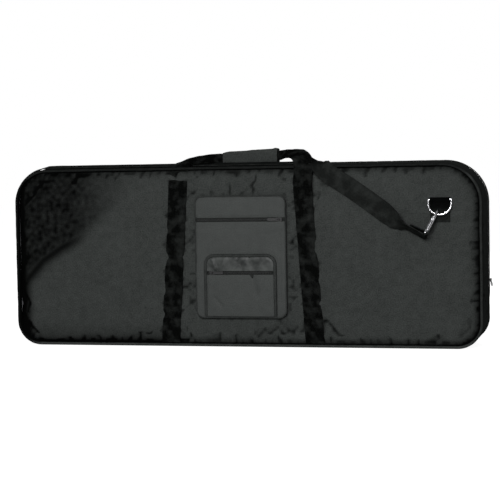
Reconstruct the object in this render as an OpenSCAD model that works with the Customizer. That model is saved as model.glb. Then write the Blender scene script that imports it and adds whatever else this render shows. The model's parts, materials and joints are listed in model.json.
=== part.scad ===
// Long padded carry case for a telescope: a soft box that unzips round three
// sides into two halves and folds open along the middle of its base.
// It stands on its long base. X runs along the case, -Y is the front with the
// pockets, +Z is up, and the origin is the middle of the base.

/* [Case] */
// Length over the two ends, mm
case_w = 1000; // [940:10:1060]
// Height of the sewn outline, mm
case_h = 376; // [366:2:400]
// Depth from the front panel to the back panel, mm
case_d = 150; // [140:2:170]
// Corner radius at the top left, mm
corner_tl = 70; // [60:1:80]
// Corner radius at the top right, mm
corner_tr = 80; // [64:1:86]
// Corner radius of both lower corners, mm
corner_low = 50; // [36:1:56]
// How far the side fabric swells out along its middle, mm
swell = 7; // [5:0.5:8]

/* [Layers] */
// Thickness of the cover fabric, mm
cover_t = 1.6; // [1.2:0.1:2]
// Thickness of the foam in the two panels, mm
panel_foam_t = 11; // [8:1:14]
// Thickness of the foam in the sides, mm
side_foam_t = 7; // [5:0.5:7.5]
// Thickness of the lining, mm
lining_t = 1; // [0.8:0.1:1.4]
// Radius of the piping cord, mm
piping_r = 3; // [2.4:0.1:3.2]
// Width of the flat flange that holds the piping in its seam, mm
flange_w = 10; // [6:1:14]

/* [Main zip] */
// Height at which the zip stops above the base, mm
zip_end_z = 117; // [108:1:124]
// Width of one zip tape, mm
tape_w = 18; // [15:1:20]
// Width left open between the side fabric and the zip's centre line, mm
tape_show = 10; // [8.5:0.5:12]
// Thickness of a zip tape, mm
tape_t = 0.8; // [0.6:0.1:1]
// Width of one row of the coil, mm
coil_w = 2.2; // [1.8:0.1:2.6]
// Height of the coil, mm
coil_h = 2; // [1.6:0.1:2.1]
// Length of the main slider, mm
slider_l = 20; // [16:1:24]
// Radius of the chrome pull ring, to the middle of its wire, mm
pull_ring_r = 7; // [6:0.5:9]

/* [Webbing] */
// Width of all the webbing, mm
web_w = 40; // [36:1:40]
// Thickness of the webbing, mm
web_t = 2; // [1.6:0.1:2.2]
// Distance from the centre to each sewn strap at the base, mm
strap_low_x = 156; // [150:1:170]
// Distance from the centre to each sewn strap at its top, mm
strap_top_x = 133; // [131:1:136]
// Distance from the top of the outline down to where the straps end and the handles start, mm
strap_drop = 26; // [22:1:32]

/* [Grip] */
// Length of the hand wrap, mm
grip_l = 118; // [110:1:122]
// Height of the hand wrap at its left end, mm
grip_h = 25; // [24:0.5:27]
// How much taller the hand wrap is at its right end, mm
grip_rise = 6.5; // [3:0.5:8]
// Depth of the hand wrap from front to back, mm
grip_d = 30; // [26:1:34]
// Middle of the hand wrap along the case, mm
grip_x = 8; // [4:1:12]

/* [Large pocket] */
// Width of the large pocket, mm
pocket_w = 194; // [180:2:200]
// Height of the large pocket, mm
pocket_h = 254; // [240:2:262]
// Height of the large pocket's lower edge above the base, mm
pocket_z = 62; // [56:1:66]
// Depth of the large pocket's side wall, mm
pocket_d = 10; // [9:0.5:14]
// Distance from the pocket's top edge down to its zip, mm
pocket_zip_drop = 49; // [44:1:54]
// Corner radius at the foot of the large pocket, mm
pocket_low_r = 16; // [8:1:18]

/* [Small pocket] */
// Width of the small pocket, mm
small_w = 156; // [140:2:160]
// Height of the small pocket, mm
small_h = 130; // [118:2:136]
// Depth of the small pocket, mm
small_d = 6; // [5:0.5:8]
// Distance from the small pocket's top edge down to its zip, mm
small_zip_drop = 39; // [36:1:42]
// Width of the binding round the small pocket, mm
binding_w = 7; // [5:0.5:9]

/* [Strap fittings] */
// Radius of the D-ring's wire, mm
ring_wire_r = 2.3; // [2:0.1:2.5]
// Inside width of the D-ring, mm
ring_inside = 42; // [42:0.5:44]
// Inside radius of the hook's bow, mm
bow_r = 6; // [5.5:0.25:6.5]
// Radius of the hook's sliding bolt, mm
bolt_r = 2.3; // [2:0.1:2.5]
// Travel of the hook's sliding bolt, mm
bolt_travel = 7; // [6:0.5:7.5]

/* [Hidden] */

$fn = 48;
seat = 0.2;               // gap between two sewn or laid layers
split = 0.3;              // gap between the lid and the case body along the fold
cover = [0.16, 0.17, 0.165];
smooth_cloth = [0.22, 0.23, 0.225];
web_black = [0.08, 0.085, 0.08];
foam_grey = [0.35, 0.35, 0.36];
lining_grey = [0.25, 0.26, 0.27];
metal = [0.78, 0.78, 0.8];
tape_black = [0.1, 0.1, 0.1];

half_d = case_d / 2;
piping_y = half_d - piping_r + 1;             // middle of the piping cord, from the centre
piping_in = cover_t / 2;                      // how far the cord's middle lies inside the outline
gusset_y1 = piping_y - piping_r;              // where the side fabric ends against the piping
piping_low = piping_r + split;                // height of the lower run of piping
panel_in = piping_in + piping_r + seat;       // the panels end against the piping
panel_low = piping_low + piping_r + seat;
panel_y = half_d - cover_t;                   // inner face of the panel fabric
flange_t = 1;
flange_y = panel_y - seat - flange_t / 2;       // middle of the flange
foam_y1 = flange_y - flange_t / 2 - seat;
foam_y0 = foam_y1 - panel_foam_t;
lining_y = foam_y0 - seat;
side_in = cover_t + 2 * seat;                 // outer face of the side foam, inside the outline
lining_in = side_in + side_foam_t + 1;
dome_y = gusset_y1 + 2;                       // the swell fades out just past the side fabric's edge

// ---- outline of the case -------------------------------------------------------------

// The four corners as [centre x, centre z, radius, first angle], from the top right round
function corners(inset, low) = [
  [case_w / 2 - corner_tr, case_h - corner_tr, corner_tr - inset, 0],
  [corner_tl - case_w / 2, case_h - corner_tl, corner_tl - inset, 90],
  [corner_low - case_w / 2, corner_low - inset + low, corner_low - inset, 180],
  [case_w / 2 - corner_low, corner_low - inset + low, corner_low - inset, 270]
];

function on_circle(c, a) = [c[0] + c[2] * cos(a), c[1] + c[2] * sin(a)];

// A flat outline of the case, brought in by inset, with its lower edge at height low
module outline(inset, low) {
  cs = corners(inset, low);
  polygon([for (c = cs) for (k = [0, 90]) on_circle(c, c[3] + k)]);
  for (c = cs) translate([c[0], c[1]]) circle(r = c[2], $fn = 96);
}

// Stands a flat drawing up in the XZ plane, from y0 back to y1
module upright(y0, y1) {
  translate([0, y1, 0]) rotate([90, 0, 0]) linear_extrude(y1 - y0) children();
}

// ---- lofts ---------------------------------------------------------------------------

// A closed skin over rings of points, each ring with as many points as the others. An open
// one is closed at its ends by strips across the ring, which needs an even number of points.
module loft(rings, closed) {
  n = len(rings);
  m = len(rings[0]);
  last = closed ? n : n - 1;
  side = [for (i = [0:last - 1]) for (j = [0:m - 1])
    let (a = i * m + j, b = i * m + (j + 1) % m, c = ((i + 1) % n) * m + (j + 1) % m,
         d = ((i + 1) % n) * m + j) each [[a, b, c], [a, c, d]]];
  e = (n - 1) * m;
  caps = closed ? [] : [for (j = [0:m / 2 - 2])
    each [[m - 1 - j, m - 2 - j, j + 1, j], [e + j, e + j + 1, e + m - 2 - j, e + m - 1 - j]]];
  polyhedron(points = [for (r = rings) each r], faces = concat(side, caps), convexity = 8);
}

function ease(t) = let (c = min(1, max(0, t))) c * c * (3 - 2 * c);

fade_low = corner_low + 8;
fade_high = zip_end_z - 5;
function swell_at(z) = swell * ease((z - fade_low) / (fade_high - fade_low));
function dome(y) = max(0, 1 - pow(y / dome_y, 2));

arc_steps = 10;
side_heights = [for (k = [0:5]) fade_low + k * (fade_high - fade_low) / 5];

// Stations round the case as [x, z, normal x, normal z]
function arc_stations(c) = [for (k = [0:arc_steps])
  let (a = c[3] + 90 * k / arc_steps, p = on_circle(c, a)) [p[0], p[1], cos(a), sin(a)]];
function end_station(side, z) = [side * case_w / 2, z, side, 0];
zip_step = 2;
base_corners = corners(0, 0);
right_arc = arc_stations(base_corners[0]);
left_arc = arc_stations(base_corners[1]);
over_top = concat(
  [end_station(1, zip_end_z + zip_step)], right_arc, left_arc, [end_station(-1, zip_end_z + zip_step)]);
left_foot = concat(
  [end_station(-1, zip_end_z)], [for (k = [5:-1:0]) end_station(-1, side_heights[k])],
  arc_stations(base_corners[2]));
right_foot = concat(
  arc_stations(base_corners[3]), [for (z = side_heights) end_station(1, z)],
  [end_station(1, zip_end_z)]);

// A point on the swollen side, at station s and depth y, off by a distance along the normal
function side_point(s, y, off) =
  let (d = swell_at(s[1]) * dome(y) + off) [s[0] + s[2] * d, y, s[1] + s[3] * d];

function side_ring(s, y0, y1, outer, t, rows) = concat(
  [for (k = [0:rows]) side_point(s, y0 + (y1 - y0) * k / rows, outer)],
  [for (k = [rows:-1:0]) side_point(s, y0 + (y1 - y0) * k / rows, outer - t)]);

// A strip that follows some of the stations, from end to end
module side_strip(stations, y0, y1, outer, t, rows) {
  rings = [for (s = stations) side_ring(s, y0, y1, outer, t, rows)];
  loft([for (k = [len(rings) - 1:-1:0]) rings[k]], false);
}

// ---- webbing -------------------------------------------------------------------------

function unit(v) = v / norm(v);
function heading(st, i) = unit(st[min(i + 1, len(st) - 1)][0] - st[max(i - 1, 0)][0]);

// A flat band through stations of [middle, direction across, width, thickness]
module ribbon(st) {
  loft([for (i = [0:len(st) - 1])
    let (p = st[i][0], w = unit(st[i][1]), n = unit(cross(heading(st, i), w)),
         a = w * st[i][2] / 2, b = n * st[i][3] / 2)
    [p - a + b, p + a + b, p + a - b, p - a - b]], false);
}

// ---- cover, foam and lining ------------------------------------------------------------

module panel() {
  color(cover) upright(panel_y, half_d) outline(panel_in, panel_low);
}

// The side fabric is cut in six: the top, an end over each end of the zip, a foot under
// each, and the base
module above_zip(stations) {
  color(cover) side_strip(stations, tape_show, gusset_y1, 0, cover_t, 4);
}

module top_fabric() {
  above_zip([[right_arc[arc_steps][0] - seat, case_h, 0, 1], [left_arc[0][0] + seat, case_h, 0, 1]]);
}

module right_end() {
  above_zip(concat([end_station(1, zip_end_z + seat)], right_arc));
}

module left_end() {
  above_zip(concat(left_arc, [end_station(-1, zip_end_z + seat)]));
}

module foot(stations, y_low) {
  color(cover) side_strip(stations, y_low, gusset_y1, 0, cover_t, 4);
}

module base_fabric(y_low) {
  x = case_w / 2 - corner_low - seat;
  color(cover) translate([-x, y_low, 0]) cube([2 * x, gusset_y1 - y_low, cover_t]);
}

// The seam's cord with its flange, seen end on at a station: [outwards, back]
cord_sides = 10;
flange_off = flange_y - piping_y;
flange_back = asin((flange_off + flange_t / 2) / piping_r);
flange_front = asin((flange_t / 2 - flange_off) / piping_r);
cord_turn = 360 - flange_back - flange_front;
cord_profile = concat(
  [for (k = [0:cord_sides]) let (a = 180 - flange_back - k * cord_turn / cord_sides)
    [piping_r * cos(a), piping_r * sin(a)]],
  [[-flange_w, flange_off - flange_t / 2], [-flange_w, flange_off + flange_t / 2]]);

// The cord in the seam, with the flat flange that is sewn in between panel and side
module piping() {
  cs = corners(piping_in, piping_low);
  stations = [for (c = cs) each arc_stations(c)];
  color(cover) loft([for (s = stations)
    [for (q = cord_profile) [s[0] + s[2] * q[0], piping_y + q[1], s[1] + s[3] * q[0]]]], true);
}

module panel_foam() {
  color(foam_grey) upright(foam_y0, foam_y1)
    outline(panel_in + seat, panel_low + seat);
}

// It starts clear of the tape over the zip, and at y_low round the base
module side_foam(y_low) {
  over = [for (s = over_top) side_ring(s, tape_w + 3, foam_y0 - seat, -side_in, side_foam_t, 3)];
  under = [for (s = concat(left_foot, right_foot))
    side_ring(s, y_low + 1, foam_y0 - seat, -side_in, side_foam_t, 3)];
  rings = concat(over, under);
  color(foam_grey) loft([for (k = [len(rings) - 1:-1:0]) rings[k]], true);
}

module lining() {
  color(lining_grey) upright(lining_y - lining_t, lining_y) outline(lining_in, lining_in);
}

module lining_wall() {
  color(lining_grey) upright(1, lining_y - lining_t - seat) difference() {
    outline(lining_in, lining_in);
    outline(lining_in + lining_t, lining_in + lining_t);
  }
}

// ---- main zip ------------------------------------------------------------------------

zip_gap = 0.5;                                 // from the centre line to the edge of a tape
tape_out = -cover_t - seat;
coil_out = tape_out + seat / 2 + coil_h;
plate_t = 1.4;
plate_w = 13;
run = 0.15;                                    // running gap of a slider on its coil
slider_z = zip_end_z + zip_step + slider_l / 2 + 8;
slider_x = case_w / 2 + swell;

module zip_tape() {
  color(tape_black) side_strip(over_top, zip_gap, tape_w, tape_out, tape_t, 2);
}

module zip_coil() {
  color(tape_black) side_strip(over_top, zip_gap, zip_gap + coil_w, coil_out, coil_h, 2);
}

lug_r = 2.6;
pull_wire_r = 1.3;

// A zip slider lying flat: it runs along Z, its face towards +X, the zip's own face at x = 0
module slider_body(l, w, out_x, in_x, post_w) {
  lug_x = out_x + run + plate_t + lug_r - 0.6;
  difference() {
    union() {
      translate([out_x + run, -w / 2, -l / 2]) cube([plate_t, w, l]);
      translate([in_x - run - plate_t, -w / 2, -l / 2]) cube([plate_t, w, l]);
      translate([in_x - run - plate_t, -post_w / 2, -l / 2])
        cube([out_x - in_x + 2 * run + 2 * plate_t, post_w, l / 4]);
      translate([lug_x, 1.5, 0]) rotate([90, 0, 0]) cylinder(r = lug_r, h = 3);
    }
    translate([lug_x, 2, 0]) rotate([90, 0, 0]) cylinder(r = pull_wire_r + 0.3, h = 4);
  }
}

module main_slider() {
  color(tape_black) translate([slider_x, 0, slider_z])
    slider_body(slider_l, plate_w, coil_out, tape_out - tape_t, 2 * zip_gap - 0.4);
}

lug_x = slider_x + coil_out + run + plate_t + lug_r - 0.6;

// The ring hangs from the slider's lug, leaning out over the end of the slider
pull_lean = 14;
module main_pull_ring() {
  color(metal) translate([lug_x, 0, slider_z]) rotate([0, -pull_lean, 0])
    translate([0, 0, -pull_ring_r]) rotate([0, 90, 0])
      rotate_extrude() translate([pull_ring_r, 0]) circle(r = pull_wire_r);
}

// ---- sewn straps and handles -----------------------------------------------------------

web_y = half_d + seat;                         // the face that the webbing lies on
strap_top_z = case_h - strap_drop;
strap_low_z = 8;

module sewn_strap(side) {
  lean = atan((strap_low_x - strap_top_x) / (strap_top_z - strap_low_z));
  color(web_black) upright(web_y, web_y + web_t)
    intersection() {
      translate([side * strap_low_x, strap_low_z]) rotate(side * lean)
        translate([-web_w / 2, -web_w]) square([web_w, case_h + web_w]);
      translate([-case_w, strap_low_z]) square([2 * case_w, strap_top_z - strap_low_z]);
    }
}

leg_y = web_y + web_t / 2;
leg_z0 = strap_top_z + split;
top_z = case_h + swell;                        // crest of the top
grip_low_z = top_z + 0.8;                      // the wrap rests just above the crest
fold_w = 20;                                   // the webbing is folded double inside the wrap
fold_t = 2 * web_t;
fold_y = fold_t / 2 + 1;
left_end_x = grip_x - grip_l / 2;
right_end_x = grip_x + grip_l / 2;
grip_lean = atan(grip_rise / 2 / grip_l);

function grip_height(x) = grip_h + grip_rise * (x - left_end_x) / grip_l;
function grip_line(x) = grip_low_z + grip_height(x) / 2;

// A station of a handle from one edge of the webbing to the other
function station(a, b, t) = [(a + b) / 2, b - a, norm(b - a), t];

// The webbing where it leaves its strap: upright, with its middle at x
function rise(x, out, up) = [[x, leg_y + out, leg_z0 + up], [1, 0, 0], web_w, web_t];

// The last stations of a handle, folded double: at the mouth of the wrap and inside it
function in_wrap(side) = [for (x = [grip_x + side * (grip_l / 2 + 3), grip_x + side * (grip_l / 2 - 2),
    grip_x + side]) [[x, fold_y, grip_line(x)], [0, 0, side], fold_w, fold_t]];

// The webbing of the handles, drawn for the back. Each leg turns towards the wrap and is
// folded on the way; its outer edge ends up as its upper edge.
lx = -strap_top_x;
left_leg = concat(
  [rise(lx, 0, 0), rise(lx, 0, 3), rise(lx - 0.5, 2.5, 11), rise(lx, 2, 20)],
  [station([lx - 17, half_d + 3.5, top_z - 6], [lx + 22, half_d + 3.5, top_z - 6], web_t),
   station([lx - 13, half_d, top_z - 0.5], [lx + 27, half_d + 3, top_z], web_t),
   station([lx + 2, half_d - 13, top_z + 5.5], [lx + 34, half_d - 3, top_z + 3], web_t * 1.2),
   station([lx + 21, half_d - 29, top_z + 14], [lx + 43, half_d - 17, top_z + 4], web_t * 1.4),
   station([left_end_x - 43, 32, top_z + 18], [left_end_x - 29, 42, top_z + 5], web_t * 1.6),
   station([left_end_x - 20, 16, top_z + 21.5], [left_end_x - 15, 22, top_z + 5], fold_t * 0.9)],
  in_wrap(-1));

rx = strap_top_x + 4;
right_start = [rise(rx, 0, 0), rise(rx, 0, 3), rise(rx, 2, 14)];
front_right_leg = concat(right_start,
  [rise(rx, 2, 28),
   station([rx - 23, half_d, top_z + 4], [rx + 19, half_d + 1, top_z + 10], web_t),
   station([rx - 29, half_d - 11, top_z + 9], [rx + 11, half_d - 5, top_z + 20.5], web_t),
   station([rx - 38, half_d - 27, top_z + 11], [rx - 3, half_d - 17, top_z + 27.5], web_t * 1.2),
   station([right_end_x + 23, 32, top_z + 12], [right_end_x + 42, 40, top_z + 28.5], web_t * 1.5),
   station([right_end_x + 12, 17, top_z + 11], [right_end_x + 21, 21, top_z + 28], fold_t * 0.9)],
  in_wrap(1));
back_right_leg = concat(right_start,
  [station([rx - 22, half_d + 3.6, top_z - 6], [rx + 16, half_d + 3.8, top_z - 4], web_t),
   station([rx - 33, half_d - 6, top_z + 3], [rx - 1, half_d - 5, top_z + 5.5], web_t * 1.2),
   station([rx - 42, half_d - 21, top_z + 8], [rx - 21, half_d - 20, top_z + 18], web_t * 1.4),
   station([right_end_x + 20, 36, top_z + 11.5], [right_end_x + 33, 38, top_z + 25], web_t * 1.6),
   station([right_end_x + 11, 19, top_z + 11], [right_end_x + 20, 22, top_z + 28], fold_t * 0.9)],
  in_wrap(1));

module handle_leg(stations) {
  color(web_black) ribbon(stations);
}

// A thin slice across one half of the wrap, with its outer edges rounded
module wrap_slice(x) {
  h = grip_height(x);
  corner = 6;
  gap = split / 2;
  edge = grip_d / 2 - corner;                  // depth of the middle of the rounding
  translate([x, 0, grip_low_z]) rotate([90, 0, 90]) linear_extrude(0.02, center = true) {
    translate([gap, 0]) square([edge - gap, h]);
    translate([gap, corner]) square([edge - gap + corner, h - 2 * corner]);
    for (z = [corner, h - corner]) translate([edge, z]) circle(r = corner, $fn = 32);
  }
}

// Half of the padded wrap that closes round both handles; it peels apart down the middle
module grip_half() {
  color(cover) difference() {
    hull() {
      wrap_slice(left_end_x);
      wrap_slice(right_end_x);
    }
    translate([grip_x, 0, grip_line(grip_x)]) rotate([0, -grip_lean, 0])
      translate([-grip_l, fold_y - fold_t / 2 - seat, -fold_w / 2 - 2 * seat])
        cube([2 * grip_l, fold_t + 2 * seat, fold_w + 4 * seat]);
  }
}

// ---- pockets ---------------------------------------------------------------------------

pocket_x = 2;                                  // middle of both pockets
pocket_y0 = half_d + seat;
pocket_y1 = pocket_y0 + pocket_d;
pocket_top = pocket_z + pocket_h;
pocket_r = 14;
pocket_zip_z = pocket_top - pocket_zip_drop;
cloth_t = 1.4;
lip = 4.3;                                     // from a pocket zip's centre line to the cloth
pocket_tape_w = 12;
mini_gap = 0.4;                                // from the centre line to a small tape's edge

// A pocket's outline with rounded upper corners, brought in by inset
module pocket_shape(w, h, r, inset) {
  translate([-w / 2 + inset, inset]) square([w - 2 * inset, h - r - inset]);
  translate([-w / 2 + r, h - r]) square([w - 2 * r, r - inset]);
  for (s = [-1, 1]) translate([s * (w / 2 - r), h - r]) circle(r = r - inset);
}

// The large pocket's outline, which is rounded at its foot as well
module large_shape(inset) {
  r = pocket_low_r;
  difference() {
    pocket_shape(pocket_w, pocket_h, pocket_r, inset);
    for (s = [-1, 1]) translate([s * pocket_w / 2, 0]) difference() {
      translate([s > 0 ? -r : 0, 0]) square(r);
      translate([-s * r, r]) circle(r = r - inset);
    }
  }
}

// Everything on the front is drawn at positive y and mirrored by front()
module front() {
  mirror([0, 1, 0]) children();
}

module at_pocket(y0, y1) {
  translate([pocket_x, 0, pocket_z]) upright(y0, y1) children();
}

// A level band from height a to height b, wider than either pocket
module level(a, b) {
  translate([-pocket_w, a]) square([2 * pocket_w, b - a]);
}

module pocket_wall() {
  color(smooth_cloth) front() at_pocket(pocket_y0, pocket_y1) difference() {
    large_shape(0);
    large_shape(cloth_t);
  }
}

cloth_y = pocket_y1 + seat;

module pocket_cloth(a, b) {
  color(smooth_cloth) front() at_pocket(cloth_y, cloth_y + cloth_t) intersection() {
    large_shape(0);
    level(a, b);
  }
}

module pocket_top_band() {
  pocket_cloth(pocket_zip_z - pocket_z + lip, pocket_h);
}

module pocket_front() {
  pocket_cloth(0, pocket_zip_z - pocket_z - lip);
}

pocket_tape_l = pocket_w - 2 * cloth_t - 1;

module pocket_zip_tape() {
  color(tape_black) front()
    for (s = [-1, 1]) translate([pocket_x - pocket_tape_l / 2, cloth_y - seat - tape_t,
        pocket_zip_z + (s > 0 ? mini_gap : -pocket_tape_w)])
      cube([pocket_tape_l, tape_t, pocket_tape_w - mini_gap]);
}

mini_coil_h = 1.3;
mini_coil_w = 2;

// The coils of a pocket zip, one row each side of its centre line
module mini_coil(y, z, l) {
  color(tape_black) front() for (s = [-1, 1])
    translate([pocket_x - l / 2, y, z + (s > 0 ? zip_gap : -zip_gap - mini_coil_w)])
      cube([l, mini_coil_h, mini_coil_w]);
}

module pocket_zip_coil() {
  mini_coil(cloth_y - seat + 0.05, pocket_zip_z, pocket_tape_l - 4);
}

mini_l = 11;
mini_w = 8;
mini_plate = 0.9;
mini_top = 1.2;
mini_lug_r = 1.9;
mini_wire_r = 0.8;

// The small slider of a pocket zip, in front of its coil, running along X
module mini_slider(x, coil_y, z, tongue) {
  y = coil_y + mini_coil_h + run;
  color(tape_black) front() difference() {
    union() {
      translate([x - mini_l / 2, y, z - mini_w / 2]) cube([mini_l, mini_plate, mini_w]);
      translate([x - tongue * mini_l / 2 - (tongue > 0 ? 0 : 2), coil_y - mini_top, z - 0.25])
        cube([2, mini_coil_h + run + mini_top + mini_plate, 0.5]);
      translate([x, y + mini_plate + mini_lug_r - 0.5, z - 1.2])
        cylinder(r = mini_lug_r, h = 2.4);
    }
    translate([x, y + mini_plate + mini_lug_r - 0.5, z - 3])
      cylinder(r = mini_wire_r + 0.1, h = 6);
  }
}

mini_pull_l = 20;
mini_pull_w = 6;

// A pull tab lying along the zip from its hinge wire at x, pointing the way of side
module mini_pull(x, coil_y, z, side) {
  y = coil_y + mini_coil_h + run + mini_plate + mini_lug_r - 0.5;
  color(tape_black) front() translate([x, y, z]) {
    translate([0, 0, -mini_pull_w / 2]) cylinder(r = mini_wire_r, h = mini_pull_w);
    for (s = [-1, 1]) translate([side > 0 ? 0 : -5, -mini_wire_r, s * (mini_pull_w / 2 - 0.8) - 0.8])
      cube([5, 2 * mini_wire_r, 1.6]);
    translate([side > 0 ? 4 : -4 - mini_pull_l, -mini_wire_r, -mini_pull_w / 2])
      cube([mini_pull_l, 2 * mini_wire_r, mini_pull_w]);
  }
}

pocket_coil_y = cloth_y - seat + 0.05;
pocket_slider_x = pocket_x + pocket_tape_l / 2 - mini_l;

module pocket_slider() {
  mini_slider(pocket_slider_x, pocket_coil_y, pocket_zip_z, 1);
}

module pocket_pull() {
  mini_pull(pocket_slider_x, pocket_coil_y, pocket_zip_z, -1);
}

small_z = pocket_z + 4;
small_r = 22;
small_y0 = cloth_y + cloth_t + seat;
small_y1 = small_y0 + small_d;
small_zip_z = small_z + small_h - small_zip_drop;
small_tape_w = 9;
window_gap = 5;                                // from the small zip's centre line up to the window

module at_small(y0, y1) {
  translate([pocket_x, 0, small_z]) upright(y0, y1) children();
}

// The dark binding runs up both sides and over the small pocket, and holds its wall
module small_binding() {
  color(web_black) front() {
    at_small(small_y0, small_y1 + 1) difference() {
      pocket_shape(small_w, small_h, small_r, 0);
      pocket_shape(small_w, small_h, small_r, binding_w);
    }
  }
}

module small_cloth(a, b, t, shade) {
  color(shade) front() at_small(small_y1 - t, small_y1) intersection() {
    pocket_shape(small_w, small_h, small_r, binding_w + seat);
    level(a, b);
  }
}

module small_panel() {
  small_cloth(0, small_zip_z - small_z - lip, cloth_t, smooth_cloth);
}

module small_window() {
  small_cloth(small_zip_z - small_z + window_gap, small_h, 0.8, [0.3, 0.31, 0.31]);
}

small_tape_l = small_w - 2 * binding_w - 1;
small_coil_y = small_y1 - cloth_t - seat + 0.05;

module small_zip_tape() {
  color(tape_black) front()
    for (s = [-1, 1]) translate([pocket_x - small_tape_l / 2, small_coil_y - tape_t - 0.05,
        small_zip_z + (s > 0 ? mini_gap : -small_tape_w)])
      cube([small_tape_l, tape_t, small_tape_w - mini_gap]);
}

module small_zip_coil() {
  mini_coil(small_coil_y, small_zip_z, small_tape_l - 4);
}

small_slider_x = pocket_x - small_tape_l / 2 + mini_l;

module small_slider() {
  mini_slider(small_slider_x, small_coil_y, small_zip_z, -1);
}

module small_pull() {
  mini_pull(small_slider_x, small_coil_y, small_zip_z, 1);
}

// ---- D-ring, tab and swivel hook ---------------------------------------------------------
// They are drawn for a wall that faces -Y at y = 0. The middle of the ring's bar is
// above the origin, and the ring hangs down from it.

knuckle_gap = 0.3;
knuckle_r = ring_wire_r + knuckle_gap + web_t;
bar_y = -(knuckle_r + seat);
ring_r = ring_inside / 2 + ring_wire_r;        // to the middle of the wire
ring_side = 8;                                 // straight part of the ring's sides
ring_tilt = 15;
ring_drop = ring_side + ring_r;
tab_w = ring_inside - 1.6;
tab_l = 46;

module tab_body() {
  color(web_black) difference() {
    union() {
      translate([-tab_w / 2, -seat - web_t, -tab_l]) cube([tab_w, web_t, tab_l]);
      translate([-tab_w / 2, bar_y, 0]) rotate([0, 90, 0]) cylinder(r = knuckle_r, h = tab_w);
    }
    translate([-tab_w, bar_y, 0]) rotate([0, 90, 0])
      cylinder(r = ring_wire_r + knuckle_gap, h = 2 * tab_w);
  }
}

module ring_body() {
  color(metal) translate([0, bar_y, 0]) rotate([-ring_tilt, 0, 0]) {
    translate([-ring_r, 0, 0]) rotate([0, 90, 0]) cylinder(r = ring_wire_r, h = 2 * ring_r);
    for (s = [-1, 1]) translate([s * ring_r, 0, 0]) sphere(r = ring_wire_r);
    for (s = [-1, 1]) translate([s * ring_r, 0, -ring_side]) cylinder(r = ring_wire_r, h = ring_side);
    translate([0, 0, -ring_side]) rotate([90, 0, 0]) rotate([0, 0, 180])
      rotate_extrude(angle = 180) translate([ring_r, 0]) circle(r = ring_wire_r);
  }
}

// Where the ring's lowest wire lies, before the tilt of the ring moves it
hook_x = -7;                                   // the hook sits left of the ring's middle
hook_low = ring_side + sqrt(pow(ring_r, 2) - pow(hook_x, 2));
hook_at = [hook_x, bar_y - hook_low * sin(ring_tilt), -hook_low * cos(ring_tilt)];

bow_wire_r = 2.2;
bow_mid = bow_r + bow_wire_r;
barrel_r = bolt_r + 2;
barrel_top = -9;
bolt_top = -1;
bolt_l = 21;
stud_r = 1.6;
stud_z = bolt_top - 15;
bore_end = bolt_top - bolt_l - bolt_travel - 5;
barrel_end = bore_end - 2;
post_r = 2.2;
post_l = 6;
loop_z = barrel_end - post_l + 1;
bar_r = 1.8;
loop_half = web_w / 2 + 0.8 + bar_r;
loop_drop = 8;

// Places the hook on the ring: its length runs along Z, its bow lies in the YZ plane
hook_lean = 27;
hook_tilt = -18;
module on_ring() {
  at_wall() translate(hook_at) rotate([hook_tilt, hook_lean, 0]) children();
}

module hook_body() {
  color(metal) difference() {
    union() {
      rotate([90, 0, 90]) rotate_extrude(angle = 180) translate([bow_mid, 0]) circle(r = bow_wire_r);
      translate([0, bow_mid, barrel_end]) cylinder(r = bow_wire_r, h = -barrel_end);
      translate([0, -bow_mid, barrel_end]) cylinder(r = barrel_r, h = barrel_top - barrel_end);
      translate([-bow_wire_r, -bow_mid, barrel_end]) cube([2 * bow_wire_r, 2 * bow_mid, 9]);
      translate([0, 0, barrel_end]) cylinder(r = barrel_r, h = 9);
    }
    translate([0, -bow_mid, bore_end]) cylinder(r = bolt_r + 0.05, h = 30);
    translate([-stud_r - 0.2, -bow_mid - 2 * barrel_r, stud_z - bolt_travel - stud_r - 0.4])
      cube([2 * stud_r + 0.4, 2 * barrel_r, bolt_travel + 2 * stud_r + 0.8]);
    translate([0, 0, barrel_end - 1]) cylinder(r = post_r + 0.05, h = 6);
  }
}

module bolt_body() {
  color(metal) {
    translate([0, -bow_mid, bolt_top - bolt_l]) cylinder(r = bolt_r, h = bolt_l);
    translate([0, -bow_mid, stud_z]) rotate([90, 0, 0]) cylinder(r = stud_r, h = barrel_r + 2.4);
    translate([0, -bow_mid - barrel_r - 0.4, stud_z]) rotate([90, 0, 0])
      cylinder(r = 2.8, h = 2);
  }
}

// The spring under the bolt
spring_wire = 0.45;
spring_turns = 6;
turn_steps = 12;
module spring_body() {
  space = bolt_top - bolt_l - bore_end - 2 * spring_wire - 0.2;
  r = bolt_r - spring_wire - 0.1;
  steps = spring_turns * turn_steps;
  color(metal) translate([0, -bow_mid, bore_end + spring_wire + 0.1])
    loft([for (i = [0:steps]) let (a = 360 * i / turn_steps, z = space * i / steps)
      [for (j = [0:5]) let (q = r + spring_wire * cos(60 * j))
        [q * cos(a), q * sin(a), z + spring_wire * sin(60 * j)]]], false);
}

// The swivel: a post in the hook's end and a loop for the webbing
module loop_body() {
  color(metal) rotate([0, 0, -90]) {
    translate([0, 0, loop_z]) cylinder(r = post_r, h = post_l + 3);
    for (z = [loop_z, loop_z - loop_drop])
      translate([-loop_half, 0, z]) rotate([0, 90, 0]) cylinder(r = bar_r, h = 2 * loop_half);
    for (s = [-1, 1]) translate([s * loop_half, 0, loop_z - loop_drop])
      cylinder(r = bar_r, h = loop_drop);
    for (s = [-1, 1], z = [loop_z, loop_z - loop_drop])
      translate([s * loop_half, 0, z]) sphere(r = bar_r);
  }
}

ring_x = case_w / 2 - 82;                      // middle of the D-ring
ring_z = case_h - 72;

module at_wall() {
  translate([ring_x, -half_d, ring_z]) children();
}

// ---- shoulder strap ----------------------------------------------------------------------

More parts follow.
